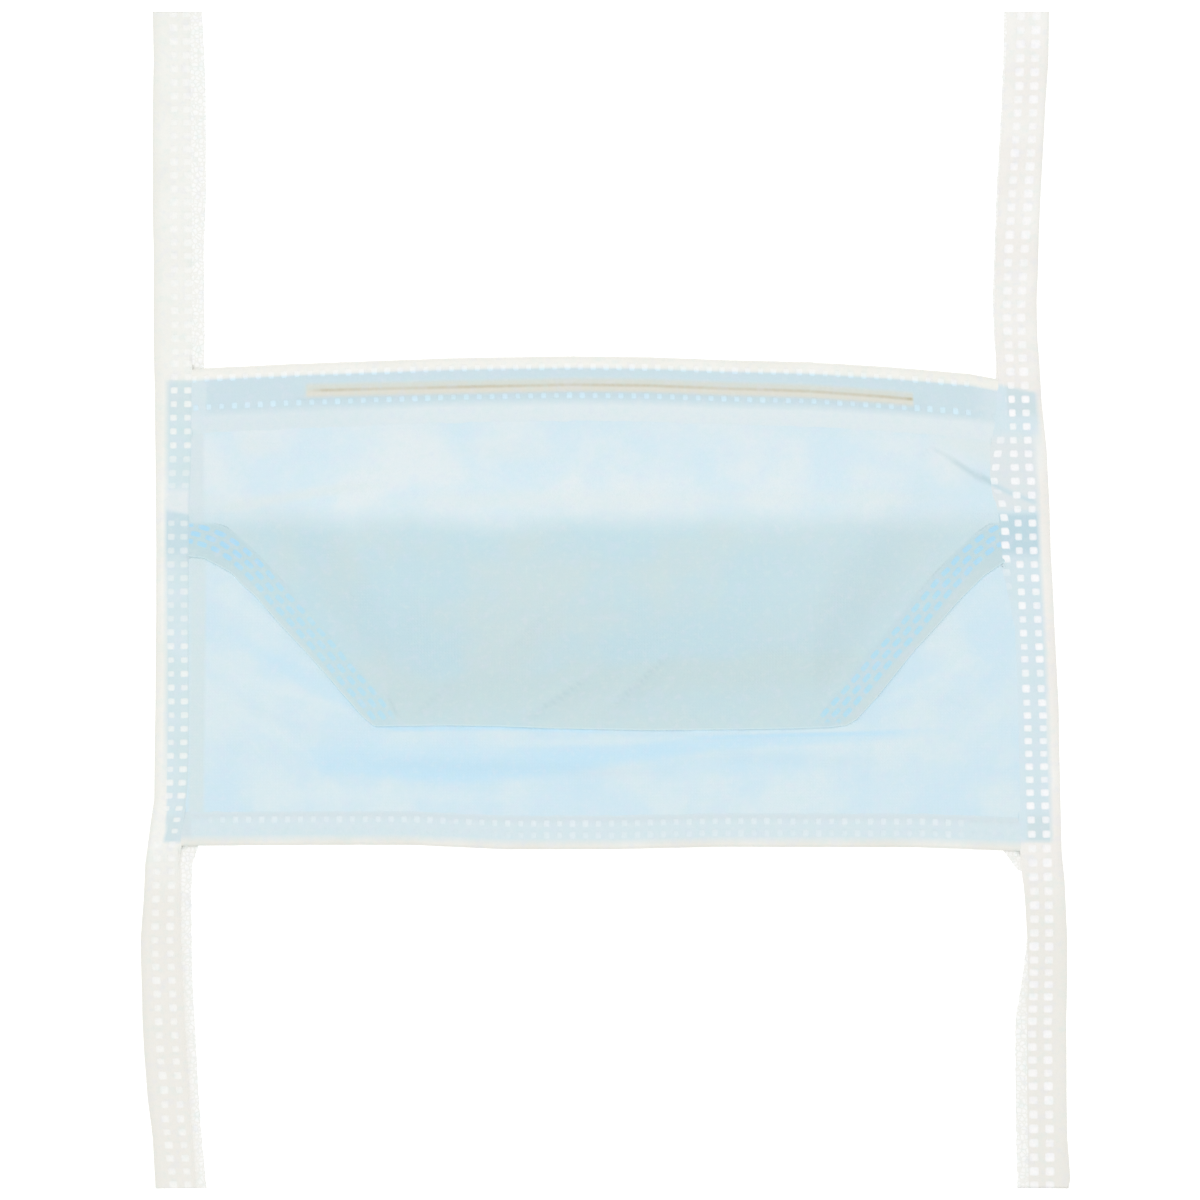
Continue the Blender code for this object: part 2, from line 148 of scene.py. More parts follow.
WIRE_LINE = [
    ("x", "drop"),
    (-0.680, 0.400), (-0.345, 0.430), (0.010, 0.420), (0.365, 0.425), (0.690, 0.450),
]
FRONT_FOLDS = [
    ("x0", "y0", "x1", "y1", "rise", "width"),
    (0.720, 0.830, 0.900, 0.715, 0.70, 0.036),
    (-0.188, 0.253, -0.025, 0.356, 0.45, 0.034),
    (-0.012, 0.263, 0.154, 0.405, 0.45, 0.034),
    (-0.230, 0.385, -0.125, 0.481, 0.35, 0.040),
    (-0.405, 0.271, -0.334, 0.348, 0.30, 0.032),
]
LOWER_FOLDS = [
    ("x0", "y0", "x1", "y1", "rise", "width"),
    (-0.600, 0.195, 0.180, 0.170, 0.75, 0.040),
    (0.150, 0.205, 0.640, 0.190, 0.60, 0.036),
    (-0.860, 0.330, -0.560, 0.225, 0.55, 0.044),
    (0.720, 0.330, 0.900, 0.300, 0.45, 0.044),
]
# the middle row of welded dashes, in the photograph's pixels, from the tie to the pouch's foot
LEFT_DASHES = [
    (180.0, 531.0), (196.0, 534.0), (207.5, 537.5), (220.0, 542.5), (235.0, 552.5), (247.0, 563.0),
    (257.0, 573.0), (267.5, 585.0), (277.0, 597.0), (287.5, 607.5), (299.0, 620.0), (310.0, 633.0),
    (320.0, 643.7), (330.6, 655.6), (340.0, 667.5), (350.0, 680.0), (361.9, 691.9), (371.2, 702.5),
    (380.0, 713.7), (392.0, 728.0),
]
RIGHT_DASHES = [
    (1020.0, 529.0), (1004.0, 533.0), (991.0, 540.0), (979.4, 549.4), (967.5, 559.5), (957.5, 571.9),
    (946.0, 583.7), (936.9, 595.0), (926.9, 607.5), (916.9, 619.8), (906.9, 631.9), (896.0, 643.7),
    (885.0, 656.0), (875.0, 668.0), (865.0, 680.6), (855.0, 691.9), (843.7, 705.0), (832.5, 717.0),
    (822.0, 729.0),
]
DASH_PITCH = 15.5
DASH_ROW = 8.2
# pixel rows and the number of the dot there, down each tie
LEFT_BEATS = [
    (26.3, 0), (95, 5), (161, 10), (228, 15), (296, 20), (352, 24), (363, 25), (390, 27), (431, 30),
    (473, 33), (523, 37), (578, 41), (618.5, 44), (674, 48), (729, 52), (783, 56), (809, 58),
    (831, 60), (872, 63), (941, 68), (981, 71), (1050, 76), (1062, 77), (1120, 81), (1172.5, 85),
]
RIGHT_BEATS = [
    (29, 0), (85, 4), (152, 9), (220, 14), (290, 19), (357.5, 24), (399, 27), (467, 32), (523, 36),
    (578, 40), (647, 45), (659, 46), (673, 47), (689, 48), (703, 49), (754, 53), (806, 57), (863, 61),
    (906, 64), (961, 68), (1022, 73), (1087, 78), (1130, 81), (1172.5, 84),
]
# the rows of dots and the edge of the upper leaf down each tie, in pixels
LEFT_LANES = [
    ("py", "one", "two", "three", "leaf"),
    (10, 172.5, 185.0, 199.5, 189.5), (87, 173.5, 185.5, 199.5, 190.0), (222, 173.0, 186.8, 201.0, 191.0),
    (357, 174.4, 186.8, 201.0, 191.5), (402, 173.1, 186.8, 201.0, 192.0),
    (447, 172.6, 186.4, 201.0, 191.6), (485, 171.5, 184.2, 199.0, 190.5),
    (523, 170.9, 183.0, 198.0, 189.5), (606, 169.9, 182.9, 198.0, 189.0),
    (715, 170.8, 183.3, 198.0, 189.5), (770, 169.7, 181.8, 197.0, 188.6),
    (796, 168.6, 180.0, 195.0, 187.0), (820, 163.5, 176.0, 190.0, 183.0),
    (845, 156.6, 171.3, 186.0, 180.5), (870, 155.8, 170.8, 186.0, 180.5),
    (940, 153.9, 168.8, 184.0, 180.0), (980, 155.5, 171.0, 186.0, 181.5),
    (1009, 157.2, 172.2, 187.0, 183.0), (1062, 159.8, 175.4, 190.0, 186.0),
    (1090, 163.5, 178.5, 193.0, 188.5), (1119, 164.2, 179.8, 194.0, 190.0),
    (1147, 168.0, 183.2, 198.0, 192.5), (1190, 173.0, 187.0, 202.0, 195.0),
]
RIGHT_LANES = [
    ("py", "one", "two", "three", "leaf"),
    (10, 1037.5, 1022.0, 1007.0, 1008.1), (42, 1036.5, 1021.5, 1006.5, 1007.6),
    (87, 1034.9, 1020.0, 1005.0, 1005.4), (132, 1033.0, 1016.8, 1002.0, 1002.8),
    (177, 1030.1, 1013.9, 999.0, 1000.4), (222, 1027.5, 1011.2, 996.0, 998.3),
    (267, 1024.0, 1008.7, 993.5, 996.7), (312, 1021.6, 1007.7, 993.0, 995.6),
    (357, 1023.4, 1010.5, 996.0, 997.1), (402, 1026.4, 1011.7, 1003.0, 996.7),
    (431, 1027.5, 1013.4, 1002.5, 993.3), (438, 1028.2, 1013.8, 1001.5, 992.3),
    (452, 1028.9, 1014.5, 998.8, 990.3), (466, 1029.8, 1015.9, 996.5, 989.6),
    (479, 1031.6, 1016.5, 994.4, 989.1), (487, 1032.0, 1017.0, 996.0, 990.5),
    (492, 1032.3, 1017.5, 999.0, 991.8), (503, 1032.6, 1017.9, 1002.9, 995.9),
    (517, 1032.7, 1018.2, 1004.5, 998.5), (530, 1033.1, 1018.7, 1005.6, 999.6),
    (545, 1033.9, 1019.3, 1006.2, 1000.6), (560, 1034.6, 1020.3, 1006.8, 1001.6),
    (573, 1035.4, 1021.0, 1007.3, 1003.0), (588, 1036.3, 1021.6, 1008.8, 1005.5),
    (600, 1037.2, 1022.4, 1009.5, 1008.5), (627, 1039.0, 1023.8, 1009.5, 1013.8),
    (672, 1040.9, 1026.2, 1011.5, 1016.0), (717, 1043.5, 1028.1, 1013.0, 1017.3),
    (762, 1044.6, 1029.8, 1015.0, 1018.5), (807, 1045.9, 1031.3, 1016.5, 1019.2),
    (852, 1047.6, 1033.4, 1018.0, 1020.4), (897, 1049.5, 1036.0, 1020.0, 1025.7),
    (942, 1050.0, 1035.4, 1020.0, 1028.5), (987, 1049.4, 1035.0, 1019.0, 1029.0),
    (1032, 1048.5, 1033.0, 1018.0, 1028.0), (1077, 1049.0, 1034.0, 1018.0, 1028.0),
    (1122, 1050.3, 1034.7, 1019.0, 1028.5), (1190, 1051.0, 1035.4, 1019.0, 1030.0),
]
# strength of the right tie's third row of dots, by pixel row
THIRD_ROW = [
    ("py", "deep"),
    (431, 0.0), (438, 0.6), (452, 0.9), (466, 1.0), (479, 1.0), (487, 0.5), (492, 0.3), (503, 1.0),
    (545, 1.0), (560, 0.9), (573, 0.4), (588, 0.2), (600, 0.0),
]
# pixel column, by pixel row, where each tie leaves the cloth under it and shows cream
LEFT_COVER = [
    (380, 168.0), (495, 167.0), (512, 163.8), (545, 165.6), (700, 166.2), (815, 165.5), (840, 163.5),
]
RIGHT_COVER = [(386, 1036.5), (440, 1038.5), (510, 1041.5), (600, 1044.0), (740, 1048.4), (840, 1051.5)]
# slope of the pouch's hinge line under the left tie, in pixels
HINGE_TILT = 0.17


def photo_x(px):
    return (px - MIDDLE_PX) * PIXEL


def photo_y(py):
    return (MIDDLE_PY - py) * PIXEL


def pixel(x, y):
    return x / PIXEL + MIDDLE_PX, MIDDLE_PY - y / PIXEL


def lookup(table, at, column):
    col = table[0].index(column)
    rows = table[1:]
    if at <= rows[0][0]:
        return rows[0][col]
    for low, high in zip(rows, rows[1:]):
        if at <= high[0]:
            share = (at - low[0]) / (high[0] - low[0])
            return low[col] + share * (high[col] - low[col])
    return rows[-1][col]


def line(pairs, at):
    """Reads a list of (place, value) pairs, straight between them and on past both ends."""
    for low, high in zip(pairs, pairs[1:]):
        if at <= high[0]:
            break
    return low[1] + (at - low[0]) / (high[0] - low[0]) * (high[1] - low[1])


def smooth(t):
    t = min(max(t, 0.0), 1.0)
    return t * t * (3 - 2 * t)


def window(at, low, rise, high, fall):
    """1 between low and high, easing in over rise past low and out over fall before high."""
    return smooth((at - low) / rise) * smooth((high - at) / fall)


def mix(a, b, t):
    return a + (b - a) * t


def grain(x, y, z=0.0):
    return noise.noise(Vector((x, y, z)))


def spread(first, last, count):
    return [first + (last - first) * i / (count - 1) for i in range(count)]


def height_y(share):
    return MASK_HEIGHT * (share - 0.5)


def edge_y(table, x):
    return height_y(lookup(table, x / HALF, "y"))


def y_run(y):
    if y > height_y(1.0):
        return 1 + (y - height_y(1.0)) / TIE_UP
    if y < height_y(0.0):
        return (y - height_y(0.0)) / TIE_DOWN
    return y / MASK_HEIGHT + 0.5


def tie_x(side, y, inward):
    table = LEFT_TIE if side < 0 else RIGHT_TIE
    run = y_run(y)
    outer = lookup(table, run, "outer") * HALF
    if inward is None:
        inward = lookup(table, run, "width") * TIE_WIDTH
    return side * (outer - inward)


def chord(low, high, inward, clear):
    ends = []
    for side in (-1, 1):
        first = tie_x(side, low, inward)
        turn = (tie_x(side, high, inward) - first) / (high - low)
        near = 0.0
        for y in spread(low, high, 25):
            near = max(near, side * (first + turn * (y - low) - tie_x(side, y, inward)))
        ends.append((low, first - side * (near + clear), turn))
    return ends


def between(ends, y, share):
    left, right = (first + turn * (y - low) for low, first, turn in ends)
    return left + share * (right - left)


def side_rise(y):
    fold = min(edge_y(POUCH_EDGE, -HALF), edge_y(POUCH_EDGE, HALF))
    low = smooth((y - fold + MASK_HEIGHT * 0.045) / (MASK_HEIGHT * 0.035))
    high = 1 - smooth((y - height_y(HINGE_SHARE) - CLOTH) / STEP_RAMP)
    return min(low, high)


def folds(table, x, y):
    total = 0.0
    for x0, y0, x1, y1, rise, width in table[1:]:
        ax = x0 * HALF
        ay = height_y(y0)
        dx = x1 * HALF - ax
        dy = height_y(y1) - ay
        long = dx * dx + dy * dy
        along = ((x - ax) * dx + (y - ay) * dy) / long
        off = abs((x - ax) * dy - (y - ay) * dx) / long ** 0.5
        ends = window(along, -0.15, 0.4, 1.15, 0.4)
        total += rise * CLOTH * ends * smooth(1 - off / (width * MASK_HEIGHT))
    return total


def lower_mid(x, y):
    """Middle of the lower panel's cloth: near the ground, lifted into the strips at its edges."""
    side = smooth((FLAT_X - abs(x)) / EDGE_EASE)
    foot = smooth((y - edge_y(BOTTOM_EDGE, x) - BOTTOM_BAND - CLEAR) / EDGE_EASE)
    wave = folds(LOWER_FOLDS, x, y) * side * foot
    return mix(BOUND_Z, FLAT_Z, side * foot) + wave


def belly(x, y, seam):
    top = edge_y(TOP_EDGE, x) - TOP_BAND - CLEAR
    up = smooth((y - seam) / POUCH_EASE)
    down = smooth((top - y) / PANEL_EASE)
    return POUCH_RISE * up * down * smooth((FLAT_X - abs(x)) / SIDE_EASE)


def ripple(x, y):
    """Small unevenness of the loose cloth, none where a strip or a tie holds it."""
    top = edge_y(TOP_EDGE, x) - TOP_BAND
    bottom = edge_y(BOTTOM_EDGE, x) + BOTTOM_BAND
    loose = smooth((FLAT_X - abs(x)) / 0.004) * smooth(min(top - y, y - bottom) / 0.004)
    return loose * (0.00022 * grain(x * 90, y * 90) + 0.00012 * grain(x * 260, y * 260, 3.0))


def front_mid(x, y, seam):
    """Middle of the pouch front's cloth and of the upper panel's above it."""
    hinge = height_y(HINGE_SHARE)
    below = edge_y(TOP_EDGE, x) - TOP_BAND - CLEAR - y
    lift = folds(FRONT_FOLDS, x, y) * smooth(min(FLAT_X - abs(x), below) / EDGE_EASE)
    if y <= hinge:
        return lower_mid(x, y) + BACK_RISE + FRONT_RISE + belly(x, y, seam) + lift
    behind = lower_mid(x, hinge) + BACK_RISE + FRONT_RISE
    return mix(BOUND_Z, behind, side_rise(y)) + belly(x, y, seam) + lift


def shown_top(x, y):
    """Top side of the cloth that shows at a place."""
    fold = edge_y(POUCH_EDGE, x)
    seam = min(max(edge_y(WELD_EDGE, x), fold + CLOTH * 1.3), height_y(HINGE_SHARE) - CLOTH)
    if y >= seam:
        return front_mid(x, y, seam) + WALL / 2
    over = smooth((y - fold) / 0.0012 + 0.7) * (BACK_RISE + FRONT_RISE)
    return lower_mid(x, y) + over + WALL / 2


def ribbon_step(y, x):
    """Thickness of the top or bottom strip's leaf lying between the cloth and a tie."""
    top = edge_y(TOP_EDGE, x) - TOP_BAND
    bottom = edge_y(BOTTOM_EDGE, x) + BOTTOM_BAND
    return (LEAF + REST) * smooth((max(y - top, bottom - y)) / 0.0015 + 0.5)


def nearest(points, px, py):
    """The length along a drawn line to the point nearest a pixel, and how far off it the pixel is."""
    best = None
    run = 0.0
    for (ax, ay), (bx, by) in zip(points, points[1:]):
        dx = bx - ax
        dy = by - ay
        long = math.hypot(dx, dy)
        t = min(max(((px - ax) * dx + (py - ay) * dy) / long ** 2, 0.0), 1.0)
        off = math.hypot(px - ax - t * dx, py - ay - t * dy)
        side = 1 if (px - ax) * dy - (py - ay) * dx > 0 else -1
        if best is None or off < best[0]:
            best = (off, run + t * long, side)
        run += long
    return best[1], best[0] * best[2]


def maths(kind, reflected=False):
    """A method that adds one Math node to a socket, with the other value first where it is reflected."""
    def method(self, other=0.0):
        first, second = (other, self) if reflected else (self, other)
        return self.look.node("ShaderNodeMath", {"operation": kind}, {0: first, 1: second})
    return method


class Value:
    """A shader socket that sums, products and comparisons can be written on."""

    def __init__(self, look, socket):
        self.look = look
        self.socket = socket

    __add__ = maths("ADD")
    __radd__ = maths("ADD", True)
    __sub__ = maths("SUBTRACT")
    __rsub__ = maths("SUBTRACT", True)
    __mul__ = maths("MULTIPLY")
    __rmul__ = maths("MULTIPLY", True)
    __truediv__ = maths("DIVIDE")
    __pow__ = maths("POWER")
    __abs__ = maths("ABSOLUTE")
    sine = maths("SINE")
    whole = maths("FLOOR")
    most = maths("MAXIMUM")
    least = maths("MINIMUM")

    def ease(self, low, high):
        """0 below low and 1 above high, softly between; high may be the smaller."""
        return self.look.node(
            "ShaderNodeMapRange",
            {"interpolation_type": "SMOOTHSTEP"},
            {"Value": self, "From Min": low, "From Max": high},
        )


class Look:
    """One material and the nodes in it."""

    def __init__(self, name, rough, sheen=0.0):
        self.material = bpy.data.materials.new(name)
        self.material.use_nodes = True
        self.tree = self.material.node_tree
        self.shader = self.tree.nodes["Principled BSDF"]
        self.shader.inputs["Roughness"].default_value = rough
        self.shader.inputs["Specular IOR Level"].default_value = 0.25
        self.shader.inputs["Sheen Weight"].default_value = sheen
        self.shader.inputs["Sheen Roughness"].default_value = 0.5
        self.place = self.node("ShaderNodeTexCoord", {}, {}, "Object")

    def node(self, kind, settings, inputs, output=0):
        made = self.tree.nodes.new(kind)
        for key, value in settings.items():
            setattr(made, key, value)
        for key, value in inputs.items():
            if isinstance(value, Value):
                self.tree.links.new(value.socket, made.inputs[key])
            else:
                made.inputs[key].default_value = value
        return Value(self, made.outputs[output])

    def mark(self, name):
        return self.node("ShaderNodeAttribute", {"attribute_name": name}, {}, "Fac")

    def part(self, axis):
        return self.node("ShaderNodeSeparateXYZ", {}, {0: self.place}, axis)

    def noise(self, size, detail=2.0, rough=0.5, at=None):
        """Soft cloud from 0 to 1 whose blots are about size metres across."""
        return self.node(
            "ShaderNodeTexNoise",
            {},
            {"Vector": at or self.place, "Scale": 1 / size, "Detail": detail, "Roughness": rough},
        )

    def place_at(self, shift):
        """The object's coordinates moved on, for a second cloud unlike the first."""
        return self.node(
            "ShaderNodeVectorMath", {"operation": "ADD"}, {0: self.place, 1: (shift, shift, shift)}
        )

    def blend(self, first, second, share):
        return self.node(
            "ShaderNodeMix", {"data_type": "RGBA"}, {0: share, 6: first, 7: second}, 2
        )

    def shade(self, colour, factor):
        """A colour times a number, as vector maths so that it keeps its hue."""
        return self.node(
            "ShaderNodeVectorMath", {"operation": "SCALE"}, {0: colour, "Scale": factor}
        )

    def finish(self, colour, height=None, distance=0.0002, strength=0.5):
        self.tree.links.new(colour.socket, self.shader.inputs["Base Color"])
        if height is not None:
            bump = self.node(
                "ShaderNodeBump", {}, {"Height": height, "Distance": distance, "Strength": strength}
            )
            self.tree.links.new(bump.socket, self.shader.inputs["Normal"])
        return self.material


def tint(red, green, blue):
    """A colour as it shows in the photograph, from 0 to 255, made a surface colour."""
    out = []
    for part in (red, green, blue):
        part = part / 255
        part = part / 12.92 if part <= 0.04045 else ((part + 0.055) / 1.055) ** 2.4
        out.append(part)
    return (*out, 1.0)


def lattice(look, pitch):
    """The thermal bond points of a nonwoven: small dimples on a slanted grid, 1 in each."""
    x = look.part("X")
    y = look.part("Y")
    turn = 2 * math.pi / pitch / math.sqrt(2)
    across = ((x + y) * turn).sine()
    along = ((x - y) * turn).sine()
    return (across * along).ease(0.15, 0.85)


def mottled(look, colour):
    """The cloudy web of a spun cloth: thin places bluer and thick ones whiter, a millimetre or so across."""
    drift = look.noise(0.0024, 2.0, 0.55, look.place_at(0.83))
    colour = look.blend(colour, tint(220, 224, 243), drift.ease(0.52, 0.70) * 0.16)
    colour = look.blend(colour, tint(206, 234, 229), drift.ease(0.48, 0.30) * 0.14)
    cloud = look.noise(0.0013, 3.0, 0.6, look.place_at(0.57))
    colour = look.blend(colour, tint(246, 240, 240), cloud.ease(0.5, 0.72) * 0.10)
    return look.blend(colour, tint(188, 230, 242), cloud.ease(0.5, 0.3) * 0.08)


def dots(look, half):
    """Rounded square press marks of the strips, 1 inside each: lanes 0 to 2, at whole beats."""
    lane = look.mark("lane")
    beat = look.mark("beat")
    number = (beat + 0.5).whole()
    row = (lane + 0.5).whole().most(0.0).least(2.0)
    chance = look.node(
        "ShaderNodeTexWhiteNoise",
        {"noise_dimensions": "2D"},
        {"Vector": look.node("ShaderNodeCombineXYZ", {}, {0: number, 1: row})},
    )
    across = abs(lane - row) * look.mark("lane_gap")
    along = abs(beat - number) * BEAT_MM
    wide = half - 0.09 * look.mark("cover") + chance * 0.10
    shape = (across / wide) ** 4 + (along / (wide * 0.92)) ** 4
    return shape.ease(2.7, 0.12), chance


def cloth_look():
    look = Look("blue_nonwoven", 0.9, 0.15)
    front = look.mark("front")
    patch = look.noise(0.016, 2.0, 0.55)
    other = look.noise(0.009, 2.0, 0.55, look.place_at(0.31))
    fine = look.noise(0.0012, 3.0, 0.65)
    fibre = look.noise(0.00035, 3.0, 0.7)
    bond = lattice(look, 0.00085) * look.noise(0.006, 2.0, 0.6, look.place_at(0.13)).ease(0.3, 0.65)

    upper = look.blend(tint(214, 234, 243), tint(227, 237, 240), patch.ease(0.34, 0.66))
    upper = look.blend(upper, tint(213, 234, 243), other.ease(0.5, 0.75) * 0.6)
    upper = look.blend(upper, tint(223, 234, 235), look.mark("ridge"))
    pouch = look.blend(tint(205, 224, 227), tint(198, 224, 232), patch.ease(0.36, 0.62))
    pouch = look.blend(pouch, tint(205, 225, 230), look.part("X").ease(0.02, 0.05) * 0.55)
    pouch = look.blend(pouch, tint(202, 223, 226), look.mark("olive"))
    lower = look.blend(tint(209, 232, 243), tint(219, 235, 240), patch.ease(0.34, 0.66))
    lower = look.blend(lower, tint(205, 230, 243), other.ease(0.5, 0.75) * 0.6)
    # painted shade: bluer, darker bands on the lower panel below the pouch's bottom fold and along its edges
    lower = look.blend(lower, tint(197, 230, 247), look.mark("blue"))
    lower = look.blend(lower, tint(222, 237, 241), look.mark("milky"))
    lower = look.blend(lower, tint(214, 230, 233), look.mark("backed"))
    upper = look.blend(upper, tint(217, 230, 234), look.mark("backed"))
    shown = look.blend(lower, look.blend(upper, pouch, look.mark("deep")), front)

    row_at = look.mark("dash_row")
    row = (row_at + 0.5).whole().most(-1.0).least(1.0)
    along = look.mark("dash_run") + look.mark("dash_lean") * row
    off = abs(along - (along + 0.5).whole()) / 0.31
    dash = ((off ** 4) + (abs(row_at - row) / 0.28) ** 4).ease(2.6, 0.15) * look.mark("dashed")
    right = look.part("X").ease(-0.01, 0.01)
    flange = look.blend(tint(199, 223, 229), tint(199, 221, 228), right)
    margin = look.blend(tint(205, 224, 227), tint(204, 222, 225), right)
    flange = look.blend(flange, margin, look.mark("margin"))
    near = look.part("Y").ease(0.001, 0.010)
    flange = look.blend(flange, tint(194, 218, 224), near * 0.8)
    blue = look.blend(look.blend(tint(186, 225, 241), tint(180, 224, 242), right), tint(174, 221, 246), near)
    flange = look.blend(flange, blue, dash * (0.7 + 0.5 * fine))
    shown = look.blend(shown, flange, look.mark("weld"))
    # painted shade along the creases, partly the cloth doubled in them
    shown = look.blend(shown, tint(186, 210, 216), look.mark("crease_shade"))
    # painted light: the fold's tip and the lower panel just below it made lighter, against the shade that
    # falls in the crease under the fold
    shown = look.shade(shown, 1.0 + 0.17 * look.mark("lift"))

    shown = mottled(look, shown)
    speck = 0.980 + 0.016 * fine + 0.024 * fibre + bond * (0.020 - 0.010 * front)
    shown = look.shade(shown, speck)
    height = fibre * 0.35 + fine * 0.5 - bond * 0.35 - dash * 0.5
    return look.finish(shown, height, 0.00010, 0.5)


def strip_look(
    name, warm, over_tone, dot, bare, light, band, low, edge, thick=(201, 223, 230), faint=(225, 236, 239)
):
    """A folded strip: cream where it is alone, tinted by the cloth it covers.

    Warm and low are its tones alone, above and below the mask, low being darker as painted shade, bare
    its dots there and dot their half width in mm. Over the cloth it is over_tone with light dots, edge at
    the leaf's edge, thick over the pouch's stacked layers and, as painted shade, over the pucker creases
    under the right tie, and faint in its pale stretches. Band is a tie's tone over another strip, and the
    main tone of the top and bottom strips.
    """
    look = Look(name, 0.88, 0.15)
    cover = look.mark("cover")
    single = look.mark("single")
    press, chance = dots(look, dot)
    press = press * look.mark("pressed")
    fine = look.noise(0.0011, 3.0, 0.6)
    fibre = look.noise(0.0003, 3.0, 0.7)
    patch = look.noise(0.012, 2.0)
    net = lattice(look, 0.00095)

    alone = look.blend(tint(*warm), tint(247, 247, 243), patch.ease(0.3, 0.75) * 0.7)
    # painted shade: the free tie below the mask darker and warmer
    alone = look.blend(alone, tint(*low), look.mark("dusk") * 0.8)
    cells = look.node(
        "ShaderNodeTexVoronoi",
        {"feature": "DISTANCE_TO_EDGE"},
        {"Vector": look.place, "Scale": 1 / 0.0009, "Randomness": 0.85},
        "Distance",
    )
    web = cells.ease(0.03, 0.22) * (0.55 + 0.6 * fine)
    alone = look.blend(alone, look.blend(tint(243, 243, 238), tint(254, 254, 253), web), single * 0.9)
    over = look.blend(tint(*over_tone), tint(216, 232, 238), patch.ease(0.35, 0.7))
    over = look.blend(over, tint(*band), look.mark("ribbon"))
    over = look.blend(over, tint(*thick), look.mark("stack"))
    over = look.blend(over, tint(*faint), look.mark("pale"))
    over = look.blend(over, tint(214, 227, 232), look.mark("hem"))
    over = look.blend(over, tint(229, 236, 238), look.mark("gap"))
    over = look.blend(over, tint(*edge), look.mark("fade"))
    shown = look.blend(alone, over, cover)
    shown = look.blend(shown, look.blend(tint(*bare), tint(*light), cover), press * (0.7 + 0.3 * chance))
    shown = look.blend(shown, tint(230, 229, 221), look.mark("fold"))

    drop = look.mark("wire_off")
    off = abs(drop)
    on = look.mark("wire_on")
    wear = look.noise(0.0015, 2.0)
    coat = look.blend(tint(217, 221, 212), tint(225, 223, 211), drop.ease(-0.6, 0.6))
    shown = look.blend(shown, coat, off.ease(1.8, 0.7) * on * 0.95)
    core = off.ease(0.55, 0.0) * on * look.mark("wire_in") * (0.4 + 0.5 * wear)
    shown = look.blend(shown, tint(196, 187, 160), core)
    shown = mottled(look, shown)
    speck = 0.98 + 0.016 * fine + 0.024 * fibre
    shown = look.shade(shown, speck)
    height = fibre * 0.35 + fine * 0.45 + net * 0.2 - press * 0.7 + web * single * 0.3
    return look.finish(shown, height, 0.00010, 0.5)


def placed(name, bm, skin):
    """Puts a bmesh into the scene as an object at the origin."""
    mesh = bpy.data.meshes.new(name)
    bm.to_mesh(mesh)
    bm.free()
    mesh.materials.append(skin)
    made = bpy.data.objects.new(name, mesh)
    bpy.context.scene.collection.objects.link(made)
    return made


def woven_grid(name, columns, rows, place, marks, wall, skin, node):
    """A sheet of columns by rows points, each put by place(i, j), with its marks kept on it."""
    bm = bmesh.new()
    bmesh.ops.create_grid(bm, x_segments=columns - 1, y_segments=rows - 1, size=1.0)
    kept = [bm.verts.layers.float.new(mark) for mark in marks]
    for v in bm.verts:
        i = round((v.co.x + 1) / 2 * (columns - 1))
        j = round((v.co.y + 1) / 2 * (rows - 1))
        point, values = place(i, j)
        v.co = point
        for layer, mark in zip(kept, marks):
            v[layer] = values.get(mark, 0.0)
    for face in bm.faces:
        face.smooth = True
    made = placed(name, bm, skin)
    thick = made.modifiers.new("wall", "SOLIDIFY")
    thick.thickness = wall
    thick.offset = 0.0
    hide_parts(node)
    return made


CLOTH_MARKS = (
    "front", "deep", "olive", "weld", "dash_row", "dash_run", "dash_lean", "dashed", "margin",
    "blue", "milky", "ridge", "backed", "crease_shade", "lift",
)


def banded(*bands):
    """Soft bands across a panel: column, row, half widths above and below it, in pixels, and strength."""
    return [[("px", "py", "up", "down", "deep"), *band] for band in bands]


# painted shade on the lower panel, below the pouch's bottom fold and along its edges
SHADE_BANDS = banded(
    [(285, 745, 10, 10, 0.0), (320, 766, 30, 12, 0.6), (400, 772, 40, 12, 0.85), (455, 776, 38, 12, 0.9),
     (520, 771, 32, 14, 0.85), (600, 760, 24, 14, 0.8), (650, 752, 18, 14, 0.75), (720, 745, 9, 10, 0.7),
     (780, 741, 8, 9, 0.6), (850, 738, 6, 8, 0.5), (905, 735, 4, 6, 0.3), (945, 733, 4, 5, 0.0)],
    [(675, 738, 3, 5, 0.0), (705, 738, 3, 6, 0.8), (800, 735, 3, 6, 1.0), (880, 733, 3, 5, 0.9),
     (910, 731, 3, 4, 0.5), (960, 729, 2, 3, 0.0)],
    [(610, 772, 12, 12, 0.0), (700, 765, 16, 16, 0.4), (800, 760, 16, 18, 0.4), (870, 758, 14, 14, 0.0)],
    [(215, 622, 8, 8, 0.0), (250, 648, 14, 14, 0.4), (300, 676, 18, 18, 0.5), (350, 702, 22, 18, 0.45),
     (392, 718, 16, 16, 0.0)],
    [(370, 724, 3, 3, 0.0), (395, 729, 3, 4, 0.8), (500, 728, 3, 4, 0.8), (590, 731, 3, 4, 0.6),
     (640, 735, 3, 3, 0.0)],
)
MILKY_BANDS = banded(
    [(205, 662, 7, 7, 0.0), (235, 676, 9, 6, 0.5), (330, 706, 8, 6, 0.55), (385, 728, 6, 5, 0.0)],
    [(205, 694, 10, 10, 0.0), (240, 714, 12, 12, 0.5), (290, 742, 12, 10, 0.45), (320, 762, 8, 8, 0.0)],
    [(480, 743, 4, 4, 0.0), (530, 744, 7, 6, 0.45), (640, 741, 6, 5, 0.45), (690, 738, 4, 4, 0.0)],
    [(206, 590, 10, 10, 0.0), (225, 598, 20, 12, 0.5), (280, 628, 14, 8, 0.5), (305, 645, 6, 6, 0.0)],
    [(270, 792, 8, 8, 0.0), (340, 795, 14, 10, 0.45), (470, 798, 12, 8, 0.35), (560, 796, 8, 6, 0.0)],
    [(870, 706, 6, 6, 0.0), (900, 694, 9, 7, 0.4), (960, 668, 9, 7, 0.4), (1000, 650, 6, 6, 0.0)],
    [(905, 640, 8, 8, 0.0), (950, 622, 16, 12, 0.35), (1000, 606, 12, 10, 0.0)],
)
